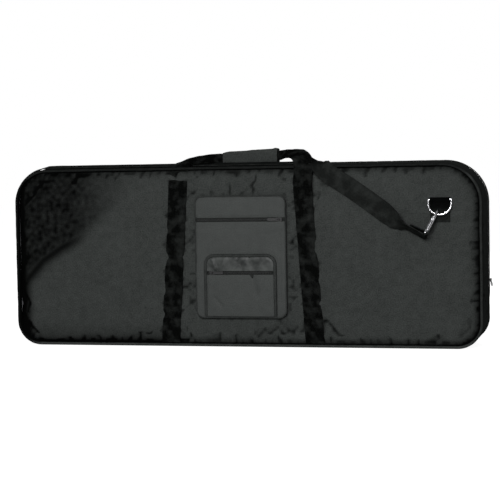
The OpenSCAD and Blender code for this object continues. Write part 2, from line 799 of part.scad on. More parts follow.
// Turns a point of the hook's own frame into the case's frame
function turn_x(p, a) = [p[0], p[1] * cos(a) - p[2] * sin(a), p[1] * sin(a) + p[2] * cos(a)];
function turn_y(p, b) = [p[0] * cos(b) + p[2] * sin(b), p[1], p[2] * cos(b) - p[0] * sin(b)];
function hook_dir(p) = turn_y(turn_x(p, hook_tilt), hook_lean);
function hook_point(p) = [ring_x, -half_d, ring_z] + hook_at + hook_dir(p);

eye_gap = 0.3;
eye_r = bar_r + eye_gap + web_t;
loop_bar = hook_point([0, 0, loop_z - loop_drop]);
bar_across = hook_dir([0, -1, 0]);

lay_y = -half_d / 2 - 3;                       // the strap lies on the lid's half of the top
lay_out = swell * dome(lay_y) + 1.9;           // its middle above the sewn outline
lay_lift = 2 * swell * abs(lay_y) / pow(dome_y, 2);
front_y = -web_y - web_t - 2;                  // where it crosses the front
corner_steps = 8;
left_corner = base_corners[1];

function laid(x, z, nx, nz) =
  [[x + nx * lay_out, lay_y, z + nz * lay_out], [nx * lay_lift, 1, nz * lay_lift], web_w, web_t];

// The far end of the strap, stitched flat to the lid's left end
sewn_z = 205;
sewn_l = 40;
function sewn(z) =
  [[-case_w / 2 - lay_out + 0.6, lay_y, z], [-lay_lift, 1, 0], web_w, web_t];

// The end of the strap turned round a loop's bar and stitched back on itself. It is
// listed from its cut end: along the strap, round the bar, and off along the strap again.
eye_steps = 6;
function eye(bar, along, across) =
  let (n = cross(unit(along), unit(across)), r = eye_r - web_t / 2)
  concat(
    [for (d = [34, 20, 8]) [bar + along * d + n * (r - (d - 8) / 26 * (r - web_t - seat)),
      across, web_w, web_t]],
    [for (k = [0:eye_steps]) let (a = 180 * k / eye_steps)
      [bar + r * (n * cos(a) - along * sin(a)), across, web_w, web_t]]);

// The strap slants down the front, from where it crosses the top edge to near its hook
cross_x = strap_top_x + 68;
slant_end = [ring_x - 80, ring_z - 47];
function slanted(t, y) =
  [cross_x + (slant_end[0] - cross_x) * t, y, case_h - 22 + (slant_end[1] - case_h + 22) * t];

off_bar = unit([-0.86, -0.04, 0.44]);

strap_route = concat(
  eye(loop_bar, off_bar, bar_across),
  [[loop_bar + off_bar * 38 - cross(off_bar, bar_across) * 1.4, bar_across, web_w, web_t],
   [slanted(1, -96), [0.3, -0.75, 0.6], web_w, web_t],
   [slanted(0.88, front_y - 7), [0.5, -0.3, 0.8], web_w, web_t],
   [slanted(0.73, front_y - 2), [0.58, 0, 0.8], web_w, web_t],
   [slanted(0.53, front_y), [0.6, 0, 0.8], web_w, web_t],
   [slanted(0.26, front_y), [0.6, 0, 0.8], web_w, web_t],
   [slanted(0.09, front_y), [0.6, 0, 0.8], web_w, web_t],
   [slanted(0, -half_d - 6), [0.6, 0.1, 0.8], web_w, web_t],
   [[cross_x - 9, -half_d - 9, case_h - 4], [0.6, 0.3, 0.75], web_w, web_t],
   [[cross_x - 16, -half_d - 3.5, case_h + 8], [0.55, 0.55, 0.55], web_w, web_t],
   [[cross_x - 24, -half_d + 9, case_h + 14], [0.45, 0.8, 0.3], web_w, web_t],
   [[cross_x - 40, -half_d + 21, case_h + 14], [0.48, 0.87, 0.1], web_w, web_t],
   [[cross_x - 67, -half_d + 31, case_h + 10], [0.22, 0.97, 0.1], web_w, web_t]],
  [laid(100, case_h, 0, 1)],
  [for (k = [0:5]) laid(50 - k * (50 - left_corner[0]) / 5, case_h, 0, 1)],
  [for (k = [1:corner_steps]) let (a = 90 + 90 * k / corner_steps, p = on_circle(left_corner, a))
    laid(p[0], p[1], cos(a), sin(a))],
  [laid(-case_w / 2, sewn_z + sewn_l + 14, -1, 0)],
  [sewn(sewn_z + sewn_l), sewn(sewn_z)]);

module shoulder_strap() {
  color(web_black) ribbon(strap_route);
}

// ---- the whole case ------------------------------------------------------------------------

panel();  // back_panel
piping();  // back_piping
panel_foam();  // back_foam
side_foam(0);  // back_side_foam
lining();  // back_lining
lining_wall();  // back_lining_wall
top_fabric();  // back_top
left_end();  // back_left_end
right_end();  // back_right_end
base_fabric(0);  // back_base
foot(left_foot, 0);  // back_left_foot
foot(right_foot, 0);  // back_right_foot
front() panel();  // front_panel
front() piping();  // front_piping
front() panel_foam();  // front_foam
front() side_foam(split);  // front_side_foam
front() lining();  // front_lining
front() lining_wall();  // front_lining_wall
front() top_fabric();  // front_top
front() left_end();  // front_left_end
front() right_end();  // front_right_end
front() base_fabric(split);  // front_base
front() foot(left_foot, split);  // front_left_foot
front() foot(right_foot, split);  // front_right_foot
zip_tape();  // back_zip_tape
zip_coil();  // back_zip_coil
front() zip_tape();  // front_zip_tape
front() zip_coil();  // front_zip_coil
main_slider();
main_pull_ring();
front() for (s = [-1, 1]) sewn_strap(s);  // front_straps
for (s = [-1, 1]) sewn_strap(s);  // back_straps
front() handle_leg(left_leg);  // front_handle_left_leg
front() handle_leg(front_right_leg);  // front_handle_right_leg
front() grip_half();  // front_grip
handle_leg(left_leg);  // back_handle_left_leg
handle_leg(back_right_leg);  // back_handle_right_leg
grip_half();  // back_grip
pocket_wall();
pocket_top_band();
pocket_front();
pocket_zip_tape();
pocket_zip_coil();
pocket_slider();
pocket_pull();
small_binding();
small_window();
small_panel();
small_zip_tape();
small_zip_coil();
small_slider();
small_pull();
at_wall() tab_body();  // ring_tab
at_wall() ring_body();  // d_ring
on_ring() hook_body();  // hook
on_ring() bolt_body();  // hook_bolt
on_ring() spring_body();  // hook_spring
on_ring() loop_body();  // strap_loop
shoulder_strap();
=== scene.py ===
# %% [markdown]
# # A padded carry case for a telescope
#
# The case is a long soft box of woven polyester over foam. A zip runs round three of its sides,
# two straps of webbing go round its back and front and end in the handles, and a shoulder strap
# lies over the top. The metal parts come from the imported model. The cloth is made here.

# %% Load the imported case
import json
import math

import bmesh
import bpy
from mathutils import Matrix, Vector, noise

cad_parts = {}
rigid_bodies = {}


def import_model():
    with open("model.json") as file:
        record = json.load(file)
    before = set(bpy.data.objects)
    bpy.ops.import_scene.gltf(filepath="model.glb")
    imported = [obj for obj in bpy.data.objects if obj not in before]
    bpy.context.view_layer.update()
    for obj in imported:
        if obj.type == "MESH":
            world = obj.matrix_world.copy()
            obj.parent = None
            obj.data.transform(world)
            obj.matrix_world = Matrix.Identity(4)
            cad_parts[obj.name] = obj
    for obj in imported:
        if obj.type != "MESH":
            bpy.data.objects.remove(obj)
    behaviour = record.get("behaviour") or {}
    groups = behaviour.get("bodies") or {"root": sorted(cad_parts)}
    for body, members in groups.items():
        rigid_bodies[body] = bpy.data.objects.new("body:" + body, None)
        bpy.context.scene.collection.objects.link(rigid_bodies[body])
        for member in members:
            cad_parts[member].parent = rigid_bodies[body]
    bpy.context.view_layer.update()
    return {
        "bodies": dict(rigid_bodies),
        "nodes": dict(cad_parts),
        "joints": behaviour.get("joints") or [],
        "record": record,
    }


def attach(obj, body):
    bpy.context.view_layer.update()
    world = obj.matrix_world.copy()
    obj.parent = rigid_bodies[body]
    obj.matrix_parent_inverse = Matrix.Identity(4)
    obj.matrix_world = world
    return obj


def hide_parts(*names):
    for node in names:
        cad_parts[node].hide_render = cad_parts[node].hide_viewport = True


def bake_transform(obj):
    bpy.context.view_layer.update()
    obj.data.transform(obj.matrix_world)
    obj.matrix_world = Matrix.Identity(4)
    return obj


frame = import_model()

# %% [markdown]
# ## Sizes
#
# All lengths are in millimetres here, because a bag is drawn and cut in millimetres, and each
# point is turned into metres only when it goes into a mesh. The front is at negative Y.

# %% Sizes of the case
MM = 0.001
HALF_L = 500
HEIGHT = 376
HALF_D = 75
RADII = {(True, True): 80, (False, True): 70, (True, False): 50, (False, False): 50}
SWELL = 7
ZIP_END = 117
WEB_W, WEB_T = 40, 2
FRONT, BACK = -1, 1
SIDES = {"front": FRONT, "back": BACK}
BODY = {"front": "lid", "back": "case_body"}


def ease(t):
    """Goes smoothly from 0 to 1 as t does, and stays there."""
    t = min(1, max(0, t))
    return t * t * (3 - 2 * t)


def ripple(x, y, z, size):
    """A soft random height from about -1 to 1, the same on every run."""
    return noise.noise(Vector((x, y, z)) / size)


print("The case is", 2 * HALF_L, "by", 2 * HALF_D, "by", HEIGHT, "mm")

# %% [markdown]
# ## The sewn outline
#
# Every layer of the case follows one outline with four rounded corners: the panels, the piping,
# the sides and the lining only lie further in or out. One function gives the distance of a point
# from that outline, and one walks round it. Folds along a seam are then easy to place, because
# they start at the nearest point of the edge.

# %% The outline and the walk round it
def outline(inset, low=None):
    """The outline brought in by inset, as its limits in X and Z and its corner radii."""
    low = inset if low is None else low
    radii = {corner: r - inset for corner, r in RADII.items()}
    return (inset - HALF_L, HALF_L - inset, low, HEIGHT - inset, radii)


def from_edge(x, z, shape):
    """How far a point lies inside an outline, and the nearest point of its edge."""
    x0, x1, z0, z1, radii = shape
    mid_x, mid_z = (x0 + x1) / 2, (z0 + z1) / 2
    right, top = x > mid_x, z > mid_z
    r = radii[right, top]
    sx, sz = (1 if right else -1), (1 if top else -1)
    qx = abs(x - mid_x) - (x1 - x0) / 2 + r
    qz = abs(z - mid_z) - (z1 - z0) / 2 + r
    if qx > 0 and qz > 0:
        reach = math.hypot(qx, qz)
        nx, nz = qx / reach, qz / reach
        corner_x, corner_z = mid_x + sx * ((x1 - x0) / 2 - r), mid_z + sz * ((z1 - z0) / 2 - r)
        return r - reach, corner_x + sx * nx * r, corner_z + sz * nz * r
    if qx > qz:
        return r - qx, (x1 if right else x0), z
    return r - qz, x, (z1 if top else z0)


def walk(shape, step):
    """Points round an outline from the middle of its base, as (x, z, outward x, outward z)."""
    x0, x1, z0, z1, radii = shape
    mid_x = (x0 + x1) / 2
    turns = [(True, False, -90), (True, True, 0), (False, True, 90), (False, False, 180)]
    points = [(mid_x, z0, 0, -1)]
    for right, top, start in turns:
        r = radii[right, top]
        cx, cz = (x1 - r if right else x0 + r), (z1 - r if top else z0 + r)
        arc = [math.radians(start + 90 * k / 24) for k in range(25)]
        arc = [(cx + r * math.cos(a), cz + r * math.sin(a), math.cos(a), math.sin(a)) for a in arc]
        points += straight(points[-1], arc[0], step) + arc
    return points + straight(points[-1], points[0], step) + [points[0]]


def straight(start, end, step):
    """Points between two others, which aren't in the list themselves."""
    count = max(1, round(math.dist(start[:2], end[:2]) / step))
    return [tuple(a + (b - a) * k / count for a, b in zip(start, end)) for k in range(1, count)]


print("One walk round the case has", len(walk(outline(0), 5)), "points")

# %% [markdown]
# ## From a grid to a piece of cloth
#
# Cloth comes off a roll as a flat rectangle, and a grid is the same thing in a mesh. So most
# pieces start as a grid that is laid out point by point, and get a UV map in metres from their
# own lengths. The weave is drawn in that map, so it follows the cloth round every corner.

# %% Helpers for cloth
def measure(points):
    """The distance from the first point to each of the others along the line."""
    lengths = [0.0]
    for a, b in zip(points, points[1:]):
        lengths.append(lengths[-1] + (b - a).length)
    return lengths


def cloth_grid(columns, rows, place, closed=False):
    """A grid laid out by place(column, row), in mm, with a UV map in metres."""
    bm = bmesh.new()
    uv = bm.loops.layers.uv.new("cloth")
    bmesh.ops.create_grid(bm, x_segments=columns, y_segments=rows, size=1)
    spots = {v: (round((v.co.x + 1) / 2 * columns), round((v.co.y + 1) / 2 * rows))
             for v in bm.verts}
    points = {spot: Vector(place(*spot)) * MM for spot in spots.values()}
    along = measure([points[i, rows // 2] for i in range(columns + 1)])
    across = measure([points[columns // 2, j] for j in range(rows + 1)])
    for v, spot in spots.items():
        v.co = points[spot]
        for loop in v.link_loops:
            loop[uv].uv = (along[spot[0]], across[spot[1]])
    if closed:
        bmesh.ops.remove_doubles(bm, verts=bm.verts, dist=1e-6)
    return bm


def to_mesh(name, bm):
    """Turns a bmesh into a mesh and frees it."""
    mesh = bpy.data.meshes.new(name)
    bm.to_mesh(mesh)
    bm.free()
    return mesh


def put(name, data):
    """Puts a new object into the scene."""
    obj = bpy.data.objects.new(name, data)
    bpy.context.scene.collection.objects.link(obj)
    return obj


def face_out(bm):
    """Turns the faces of a closed form outward."""
    bmesh.ops.recalc_face_normals(bm, faces=bm.faces)


def thicken(bm, thickness, outward):
    """Gives open cloth a thickness in mm behind its face. outward(point) is the way it faces."""
    bm.normal_update()
    if sum(f.normal.dot(outward(f.calc_center_median())) for f in bm.faces) < 0:
        bmesh.ops.reverse_faces(bm, faces=bm.faces)
    bmesh.ops.solidify(bm, geom=bm.faces[:], thickness=thickness * MM)
    face_out(bm)
    return bm


def join(bm, other):
    """Puts another bmesh into this one."""
    mesh = to_mesh("joined", other)
    bm.from_mesh(mesh)
    bpy.data.meshes.remove(mesh)


def from_middle(point):
    """The way that the sides of the case face."""
    return Vector((point.x / HALF_L, 0, (point.z - HEIGHT * MM / 2) * 2 / HEIGHT))


def to_front(point):
    return Vector((0, -1, 0))


def make_piece(name, bm, finish, body=None, stands_for=(), sharp=50):
    """Turns a bmesh into a piece with a finish, on a body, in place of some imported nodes."""
    mesh = to_mesh(name, bm)
    mesh.shade_smooth()
    mesh.set_sharp_from_angle(angle=math.radians(sharp))
    mesh.materials.append(finish)
    piece = put(name, mesh)
    if body:
        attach(piece, body)
    if stands_for:
        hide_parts(*stands_for)
    print(f"{name}: {len(mesh.polygons)} faces")
    return piece


print("Cloth starts as a grid")

# %% [markdown]
# ## Finishes
#
# Black cloth is never flat black: the threads catch light on their crowns and the colour drifts
# over a hand's width. Shade in folds, seams and hollows is painted into the colour as well, from
# an attribute on the mesh. One helper makes a woven finish from those three, with two crossed
# waves for the threads.

# %% Helpers for finishes
def begin(name, roughness, metallic=0.0, specular=0.5):
    """A new material with the values that are the same all over its surface."""
    material = bpy.data.materials.new(name)
    material.use_nodes = True
    shader = material.node_tree.nodes["Principled BSDF"]
    shader.inputs["Roughness"].default_value = roughness
    shader.inputs["Metallic"].default_value = metallic
    shader.inputs["Specular IOR Level"].default_value = specular
    return material, shader


def add(material, kind, settings=None, **inputs):
    """Adds a node. A setting is a plain value, and an input is a value or another socket."""
    tree = material.node_tree
    node = tree.nodes.new("ShaderNode" + kind)
    for key, value in (settings or {}).items():
        setattr(node, key, value)
    for key, value in inputs.items():
        socket = node.inputs[int(key[2:])] if key.startswith("at") else node.inputs[key]
        if isinstance(value, bpy.types.NodeSocket):
            tree.links.new(value, socket)
        else:
            socket.default_value = value
    return node


def blend_colours(material, factor, dark, light):
    """A colour between dark and light, each a colour or a socket."""
    node = add(material, "Mix", {"data_type": "RGBA"})
    for at, value in ((0, factor), (6, dark), (7, light)):
        socket = node.inputs[at]
        if isinstance(value, bpy.types.NodeSocket):
            material.node_tree.links.new(value, socket)
        else:
            socket.default_value = value if isinstance(value, float) else (*value, 1)
    return node.outputs[2]


def sum_up(material, operation, a, b, clamp=False):
    node = add(material, "Math", {"operation": operation, "use_clamp": clamp}, at0=a, at1=b)
    return node.outputs[0]


def spots(material, where, scale, detail=2.0, low=0.3, high=0.7):
    """Noise stretched to run from 0 to 1 between two of its heights."""
    cloud = add(material, "TexNoise", Vector=where, Scale=scale, Detail=detail)
    ramp = add(material, "MapRange", at0=cloud.outputs["Fac"], at1=low, at2=high)
    return ramp.outputs[0]


def stack(material, parts):
    """The sum of several sockets, each times its own strength, held between 0 and 1."""
    total = None
    for socket, strength in parts:
        term = sum_up(material, "MULTIPLY", socket, strength)
        last = socket == parts[-1][0]
        total = term if total is None else sum_up(material, "ADD", total, term, last)
    return total


def finish_cloth(material, shader, level, dark, light, relief, bump_strength, bump_height):
    """Gives cloth its colour at each level, its painted shade from a mesh attribute, and its
    relief.
    """
    colour = blend_colours(material, level, dark, light)
    # Painted shade: a mesh attribute darkens the colour towards a small fraction of the dark
    # colour, in seams, folds and hollows.
    kept = add(material, "Attribute", {"attribute_name": "painted_shade"}).outputs["Fac"]
    shaded_colour = tuple(c * PAINTED_SHADE_FACTOR for c in dark)
    colour = blend_colours(material, sum_up(material, "MULTIPLY", kept, 1.0, True), colour, shaded_colour)
    bump = add(material, "Bump", Strength=bump_strength, Distance=bump_height, Height=relief)
    material.node_tree.links.new(colour, shader.inputs["Base Color"])
    material.node_tree.links.new(bump.outputs[0], shader.inputs["Normal"])
    return material


# How dark full painted shade makes the cloth, as a fraction of its dark colour.
PAINTED_SHADE_FACTOR = 0.12
print("Finishes are made of nodes")

# %% The woven finish
def woven(name, dark, light, thread, mottle, roughness=0.85, depth=0.25, grain=380.0,
          specular=0.0):
    """Cloth from dark to light, with threads that wide in mm and blotches of that strength."""
    material, shader = begin(name, roughness, specular=specular)
    place = add(material, "UVMap", {"uv_map": "cloth"}).outputs[0]
    pitch = 314 / (2 * thread)
    warp, weft = (add(material, "TexWave", {"bands_direction": way}, Vector=place, Scale=pitch,
                      Distortion=1.2, at3=2.0).outputs["Fac"] for way in "XY")
    threads = sum_up(material, "MULTIPLY", warp, weft)
    fine = spots(material, place, grain, 3.0)
    broad = spots(material, place, 16.0, 2.0)
    blotches = spots(material, place, 70.0, 3.0)
    level = stack(material, [(fine, 0.5), (threads, 0.35), (blotches, mottle), (broad, 0.12)])
    relief = sum_up(material, "ADD", threads, sum_up(material, "MULTIPLY", fine, 0.8))
    return finish_cloth(material, shader, level, dark, light, relief, depth, 0.0006)


cover_cloth = woven("cover_cloth", (0.0145, 0.016, 0.0152), (0.05, 0.054, 0.052), 1.1, 0.2)
piping_cloth = woven("piping_cloth", (0.013, 0.0145, 0.0137), (0.05, 0.054, 0.052), 1.1, 0.3)
pocket_cloth = woven("pocket_cloth", (0.027, 0.0295, 0.0285), (0.06, 0.064, 0.062), 0.7, 0.12,
                     roughness=0.6, depth=0.12, grain=500.0, specular=0.06)
binding_cloth = woven("binding_cloth", (0.01, 0.011, 0.0105), (0.042, 0.045, 0.0435), 1.2, 0.25)
tape_cloth = woven("tape_cloth", (0.007, 0.0075, 0.007), (0.028, 0.03, 0.029), 0.9, 0.2)
lining_cloth = woven("lining_cloth", (0.035, 0.04, 0.045), (0.075, 0.08, 0.085), 2.4, 0.1,
                     roughness=0.55, specular=0.15)
print("Made the woven finishes")

# %% Webbing
def webbing_finish(name, dark, light, patches):
    """Black webbing, with slanting ribs across it and worn patches."""
    material, shader = begin(name, 0.8, specular=0.0)
    place = add(material, "UVMap", {"uv_map": "cloth"}).outputs[0]
    slant = add(material, "Mapping", Vector=place, Rotation=(0, 0, math.radians(52)))
    ribs = add(material, "TexWave", {"bands_direction": "X"}, Vector=slant.outputs[0],
               Scale=120.0, Distortion=1.5, at3=2.0).outputs["Fac"]
    fine = spots(material, place, 420.0, 3.0)
    blotches = spots(material, place, 48.0, 6.0, 0.44, 0.7)
    level = stack(material, [(ribs, 0.1), (fine, 0.2), (blotches, patches)])
    relief = sum_up(material, "ADD", ribs, sum_up(material, "MULTIPLY", fine, 0.5))
    return finish_cloth(material, shader, level, dark, light, relief, 0.4, 0.0008)


webbing = webbing_finish("webbing", (0.0002, 0.00025, 0.0002), (0.0135, 0.0148, 0.014), 0.8)
strap_webbing = webbing_finish("strap_webbing", (0.005, 0.0055, 0.0052), (0.028, 0.0305, 0.029),
                               0.4)
print("Made the webbing finishes")


# %% Film, metal and plastic
def plain_finish(name, dark, light, roughness, metallic, scale, depth, specular=0.5):
    """A hard finish with a slight drift of colour and roughness and a shallow relief."""
    material, shader = begin(name, roughness, metallic, specular)
    place = add(material, "TexCoord").outputs["Object"]
    cloud = spots(material, place, scale, 4.0)
    wear = add(material, "MapRange", at0=cloud, at1=0.0, at2=1.0, at3=roughness * 0.8,
               at4=min(1, roughness * 1.35))
    bump = add(material, "Bump", Strength=depth, Distance=0.0004, Height=cloud)
    links = material.node_tree.links
    links.new(blend_colours(material, cloud, dark, light), shader.inputs["Base Color"])
    links.new(wear.outputs[0], shader.inputs["Roughness"])
    links.new(bump.outputs[0], shader.inputs["Normal"])
    return material


film = plain_finish("film", (0.016, 0.0175, 0.017), (0.052, 0.056, 0.054), 0.38, 0, 60.0, 0.05,
                    specular=0.12)
chrome = plain_finish("chrome", (0.55, 0.55, 0.57), (0.82, 0.82, 0.84), 0.16, 1, 900.0, 0.08)
spring_wire = plain_finish("spring_wire", (0.3, 0.3, 0.31), (0.5, 0.5, 0.5), 0.3, 1, 900.0, 0.1)
enamel = plain_finish("enamel", (0.006, 0.006, 0.006), (0.02, 0.02, 0.021), 0.4, 0, 500.0, 0.2,
                      specular=0.25)
nylon = plain_finish("nylon", (0.006, 0.006, 0.006), (0.022, 0.023, 0.023), 0.45, 0, 700.0, 0.3,
                     specular=0.2)
foam_finish = plain_finish("foam_finish", (0.1, 0.1, 0.11), (0.22, 0.22, 0.23), 0.95, 0, 700.0,
                           0.8)
print("Made the hard finishes")

# %% [markdown]
# ## The camera, the light and the floor
#
# The camera stands a little to the right of the front and barely above it, far away with a long
# lens. A large soft lamp stands above it, so that the sides and the top stay dark, and another
# lights the back. The floor and the world look white only to the camera, so that the white ground
# adds no light to the case.

# %% Camera
AZIMUTH, ELEVATION, ROLL = 14.01, 3.0, math.radians(-1.01)
DISTANCE = 3.31743
TARGET = Vector((0.00152, 0, 0.19935))


def direction(azimuth, elevation):
    """The way out from the case at these angles in degrees, with azimuth 0 straight in front."""
    a, e = math.radians(azimuth), math.radians(elevation)
    return Vector((math.sin(a) * math.cos(e), -math.cos(a) * math.cos(e), math.sin(e)))


back = direction(AZIMUTH, ELEVATION)
level_right = (-back).cross(Vector((0, 0, 1))).normalized()
level_up = level_right.cross(-back)
right = level_right * math.cos(ROLL) + level_up * math.sin(ROLL)
up = level_up * math.cos(ROLL) - level_right * math.sin(ROLL)
camera_data = bpy.data.cameras.new("camera")
camera_data.lens = 111.82
camera_data.sensor_width = 36
camera = put("camera", camera_data)
turn = Matrix((right, up, back)).transposed().to_4x4()
camera.matrix_world = Matrix.Translation(TARGET + back * DISTANCE) @ turn
bpy.context.scene.camera = camera
bpy.context.scene.view_settings.view_transform = "Standard"
print("The camera is", round(DISTANCE, 2), "m away")


# %% Light, world and floor
def lamp(name, azimuth, elevation, distance, size, watts):
    """A soft square lamp that looks at the middle of the case."""
    data = bpy.data.lights.new(name, "AREA")
    data.energy, data.size = watts, size
    away = direction(azimuth, elevation)
    turned = away.to_track_quat("Z", "Y").to_matrix().to_4x4()
    put(name, data).matrix_world = Matrix.Translation(TARGET + away * distance) @ turned
    print(name, "at", azimuth, "degrees")


lamp("key_lamp", 4, 17, 3.2, 0.9, 88)
lamp("back_lamp", 172, 20, 3.2, 1.4, 60)


def by_ray(tree, bounced, seen, output):
    """Shows one shader where the camera looks, and another to light that bounces."""
    path = tree.nodes.new("ShaderNodeLightPath")
    either = tree.nodes.new("ShaderNodeMath")
    either.operation = "MAXIMUM"
    choose = tree.nodes.new("ShaderNodeMixShader")
    for start, end in ((path.outputs["Is Camera Ray"], either.inputs[0]),
                       (path.outputs["Is Transmission Ray"], either.inputs[1]),
                       (either.outputs[0], choose.inputs[0]),
                       (bounced.outputs[0], choose.inputs[1]),
                       (seen.outputs[0], choose.inputs[2]),
                       (choose.outputs[0], tree.nodes[output].inputs["Surface"])):
        tree.links.new(start, end)


def shader_node(tree, kind, **values):
    """A shader node with these values."""
    node = tree.nodes.new("ShaderNode" + kind)
    for key, value in values.items():
        node.inputs[key].default_value = value
    return node


world = bpy.data.worlds.new("world")
bpy.context.scene.world = world
world.use_nodes = True
tree = world.node_tree
ambient = shader_node(tree, "Background", Color=(1, 1, 1, 1), Strength=0.2)
white = shader_node(tree, "Background", Color=(1, 1, 1, 1), Strength=1.0)
by_ray(tree, ambient, white, "World Output")

floor_finish = bpy.data.materials.new("floor_finish")
floor_finish.use_nodes = True
tree = floor_finish.node_tree
paint = tree.nodes["Principled BSDF"]
paint.inputs["Base Color"].default_value = (0.7, 0.7, 0.7, 1)
paint.inputs["Roughness"].default_value = 1
glow = shader_node(tree, "Emission", Strength=0.94)
thin_paint = shader_node(tree, "BsdfDiffuse", Color=(0.3, 0.3, 0.3, 1))
both = tree.nodes.new("ShaderNodeAddShader")
tree.links.new(glow.outputs[0], both.inputs[0])
tree.links.new(thin_paint.outputs[0], both.inputs[1])
by_ray(tree, paint, both, "Material Output")
bm = bmesh.new()
bmesh.ops.create_grid(bm, x_segments=4, y_segments=4, size=12)
bmesh.ops.translate(bm, verts=bm.verts, vec=(0, 0, -0.0008))
floor = put("floor", to_mesh("floor", bm))
floor.data.materials.append(floor_finish)
print("The floor is 24 m wide")

# %% [markdown]
# ## The two padded panels
#
# Each face of the case is one sheet of cloth over a slab of foam. Where the sheet is sewn in
# against the piping it is pulled deep into the seam, and the spare cloth gathers into small
# folds that run away from the seam and fade out. Straps press a shallow channel into the foam.
# The sheet is a grid cut to the outline, and one function says how deep each point of it lies.

# %% The relief of a panel
PANEL = outline(4.0, 6.5)
STRAP_LOW_X, STRAP_TOP_X, STRAP_LOW_Z, STRAP_TOP_Z = 156, 133, 8, 350
CREASE = [(-530, 40), (-491, 97), (-472, 140), (-436, 179), (-396, 205), (-355, 226), (-320, 258),
          (-263, 300), (-215, 372)]


def strap_x(z):
    """How far from the middle the sewn straps run at a height."""
    t = (z - STRAP_LOW_Z) / (STRAP_TOP_Z - STRAP_LOW_Z)
    return STRAP_LOW_X + (STRAP_TOP_X - STRAP_LOW_X) * t


def beside(x, z, line):
    """The signed distance to a bent line, positive on its upper left."""
    best = None
    for (ax, az), (bx, bz) in zip(line, line[1:]):
        dx, dz = bx - ax, bz - az
        t = min(1, max(0, ((x - ax) * dx + (z - az) * dz) / (dx * dx + dz * dz)))
        px, pz = x - ax - t * dx, z - az - t * dz
        side = 1 if dx * (z - az) - dz * (x - ax) > 0 else -1
        if best is None or math.hypot(px, pz) < abs(best):
            best = side * math.hypot(px, pz)
    return best


def folds(bx, bz, inside, seed, size):
    """Sharp folds across a seam, from 0 to 1, which start at its point (bx, bz)."""
    lean = 0.45 * inside * ripple(bx, seed * 31, bz, 90)
    height = ripple(bx + lean + inside * 0.25, seed * 17, bz - lean + inside * 0.25, size)
    return max(0, 1 - abs(height) * 3.4) ** 2


def panel_depth(x, z, seed):
    """How far a panel's cloth lies behind the plane that touches the panel, in mm."""
    inside = from_edge(x, z, PANEL)[0]
    depth = 7.5 * (1 - ease(inside / 15))
    depth += 0.9 * (ripple(x, seed * 11, z, 85) + 0.4 * ripple(x, seed * 3, z, 33))
    depth += 2.2 * (1 - ease((beside_strap(x, z) - 14) / 16)) + 0.6
    if seed == 1:
        off = beside(x, z, CREASE)
        near = ease((x + 560) / 60) * (1 - ease((x + 370) / 150))
        depth += 5.0 * near * math.exp(-(off / 11) ** 2)
        depth += 3.5 * near * ease(off / 40) * (1 - ease((off - 90) / 120))
    return max(0.0, depth)


def beside_strap(x, z):
    return abs(abs(x) - strap_x(z))


def painted_shade(x, z, seed):
    """How much painted shade a point of a panel gets, from 0 to 1: in the seam, along the crease
    and over the upper left corner, at both ends and along the foot.
    """
    inside = from_edge(x, z, PANEL)[0]
    value = 0.8 * math.exp(-max(0, inside) / 5)
    if seed == 1:
        off = beside(x, z, CREASE)
        grain = 0.92 + 0.12 * ripple(x, 5, z, 26) + 0.3 * ripple(x, 9, z, 9)
        corner = ease((off + 14) / 34) * (1 - ease((x + 400) / 200)) * grain
        line = 0.95 * math.exp(-((off - 5) / 14) ** 2) * (1 - ease((x + 390) / 90))
        value = max(value, 0.92 * corner, line)
        value = max(value, 1 - ease((x + 484) / 26))
        value += 0.6 * math.exp(-max(0, inside) / 8) * ease((x - 440) / 30)
        value += 0.25 * (1 - ease((z - 12) / 50)) * (1 - ease((x + 170) / 60))
        value += 0.6 * math.exp(-max(0, inside) / 9) * (z < 60) * (1 - ease((x + 170) / 60))
    return min(1, max(0, value))


print("In the middle the cloth lies", round(panel_depth(30, 190, 1), 1), "mm behind its plane")

# %% [markdown]
# ## Let the cloth settle
#
# The small folds along a seam come from cloth with a little to spare. So each panel is
# simulated: it is held where the seam, the straps and the pocket are sewn, grows by a few
# hundredths, is blown up from inside, and buckles. How far a point may move is capped, the
# result becomes the mesh, and one subdivision rounds it.

# %% The cloth simulation
def settle(bm, held, spare, push, cap):
    """Lets a sheet buckle between the points where it is held, and gives back a finer one."""
    scene = bpy.context.scene
    bm.verts.index_update()
    kept = [v.index for v in bm.verts if held(v)]
    mesh = to_mesh("settling", bm)
    piece = put("settling", mesh)
    piece.vertex_groups.new(name="held").add(kept, 1.0, "REPLACE")
    cloth = piece.modifiers.new("cloth", "CLOTH")
    cloth.point_cache.frame_start, cloth.point_cache.frame_end = 1, 20
    cloth.collision_settings.use_collision = False
    rules = cloth.settings
    rules.quality = 6
    rules.mass = 0.15
    rules.tension_stiffness = rules.compression_stiffness = 15
    rules.bending_stiffness = 0.1
    rules.vertex_group_mass = "held"
    rules.shrink_min = -spare
    rules.use_pressure = True
    rules.uniform_pressure_force = push
    rules.effector_weights.gravity = 0
    for frame in range(1, 21):
        scene.frame_set(frame)
    settled = piece.evaluated_get(bpy.context.evaluated_depsgraph_get())
    ends = [v.co.copy() for v in settled.data.vertices]
    piece.modifiers.clear()
    moves = []
    for v, end in zip(mesh.vertices, ends):
        move = end - v.co
        moves.append(move.length / MM)
        v.co += move * min(1, cap * MM / max(move.length, 1e-9))
    scene.frame_set(1)
    finer = piece.modifiers.new("finer", "SUBSURF")
    finer.levels = finer.render_levels = 1
    rounded_off = piece.evaluated_get(bpy.context.evaluated_depsgraph_get())
    bm = bmesh.new()
    bm.from_mesh(rounded_off.data)
    bpy.data.objects.remove(piece)
    bpy.data.meshes.remove(mesh)
    print("Cloth settled, and moved", round(sum(moves) / len(moves), 1), "mm, at most",
          round(max(moves), 1))
    return bm


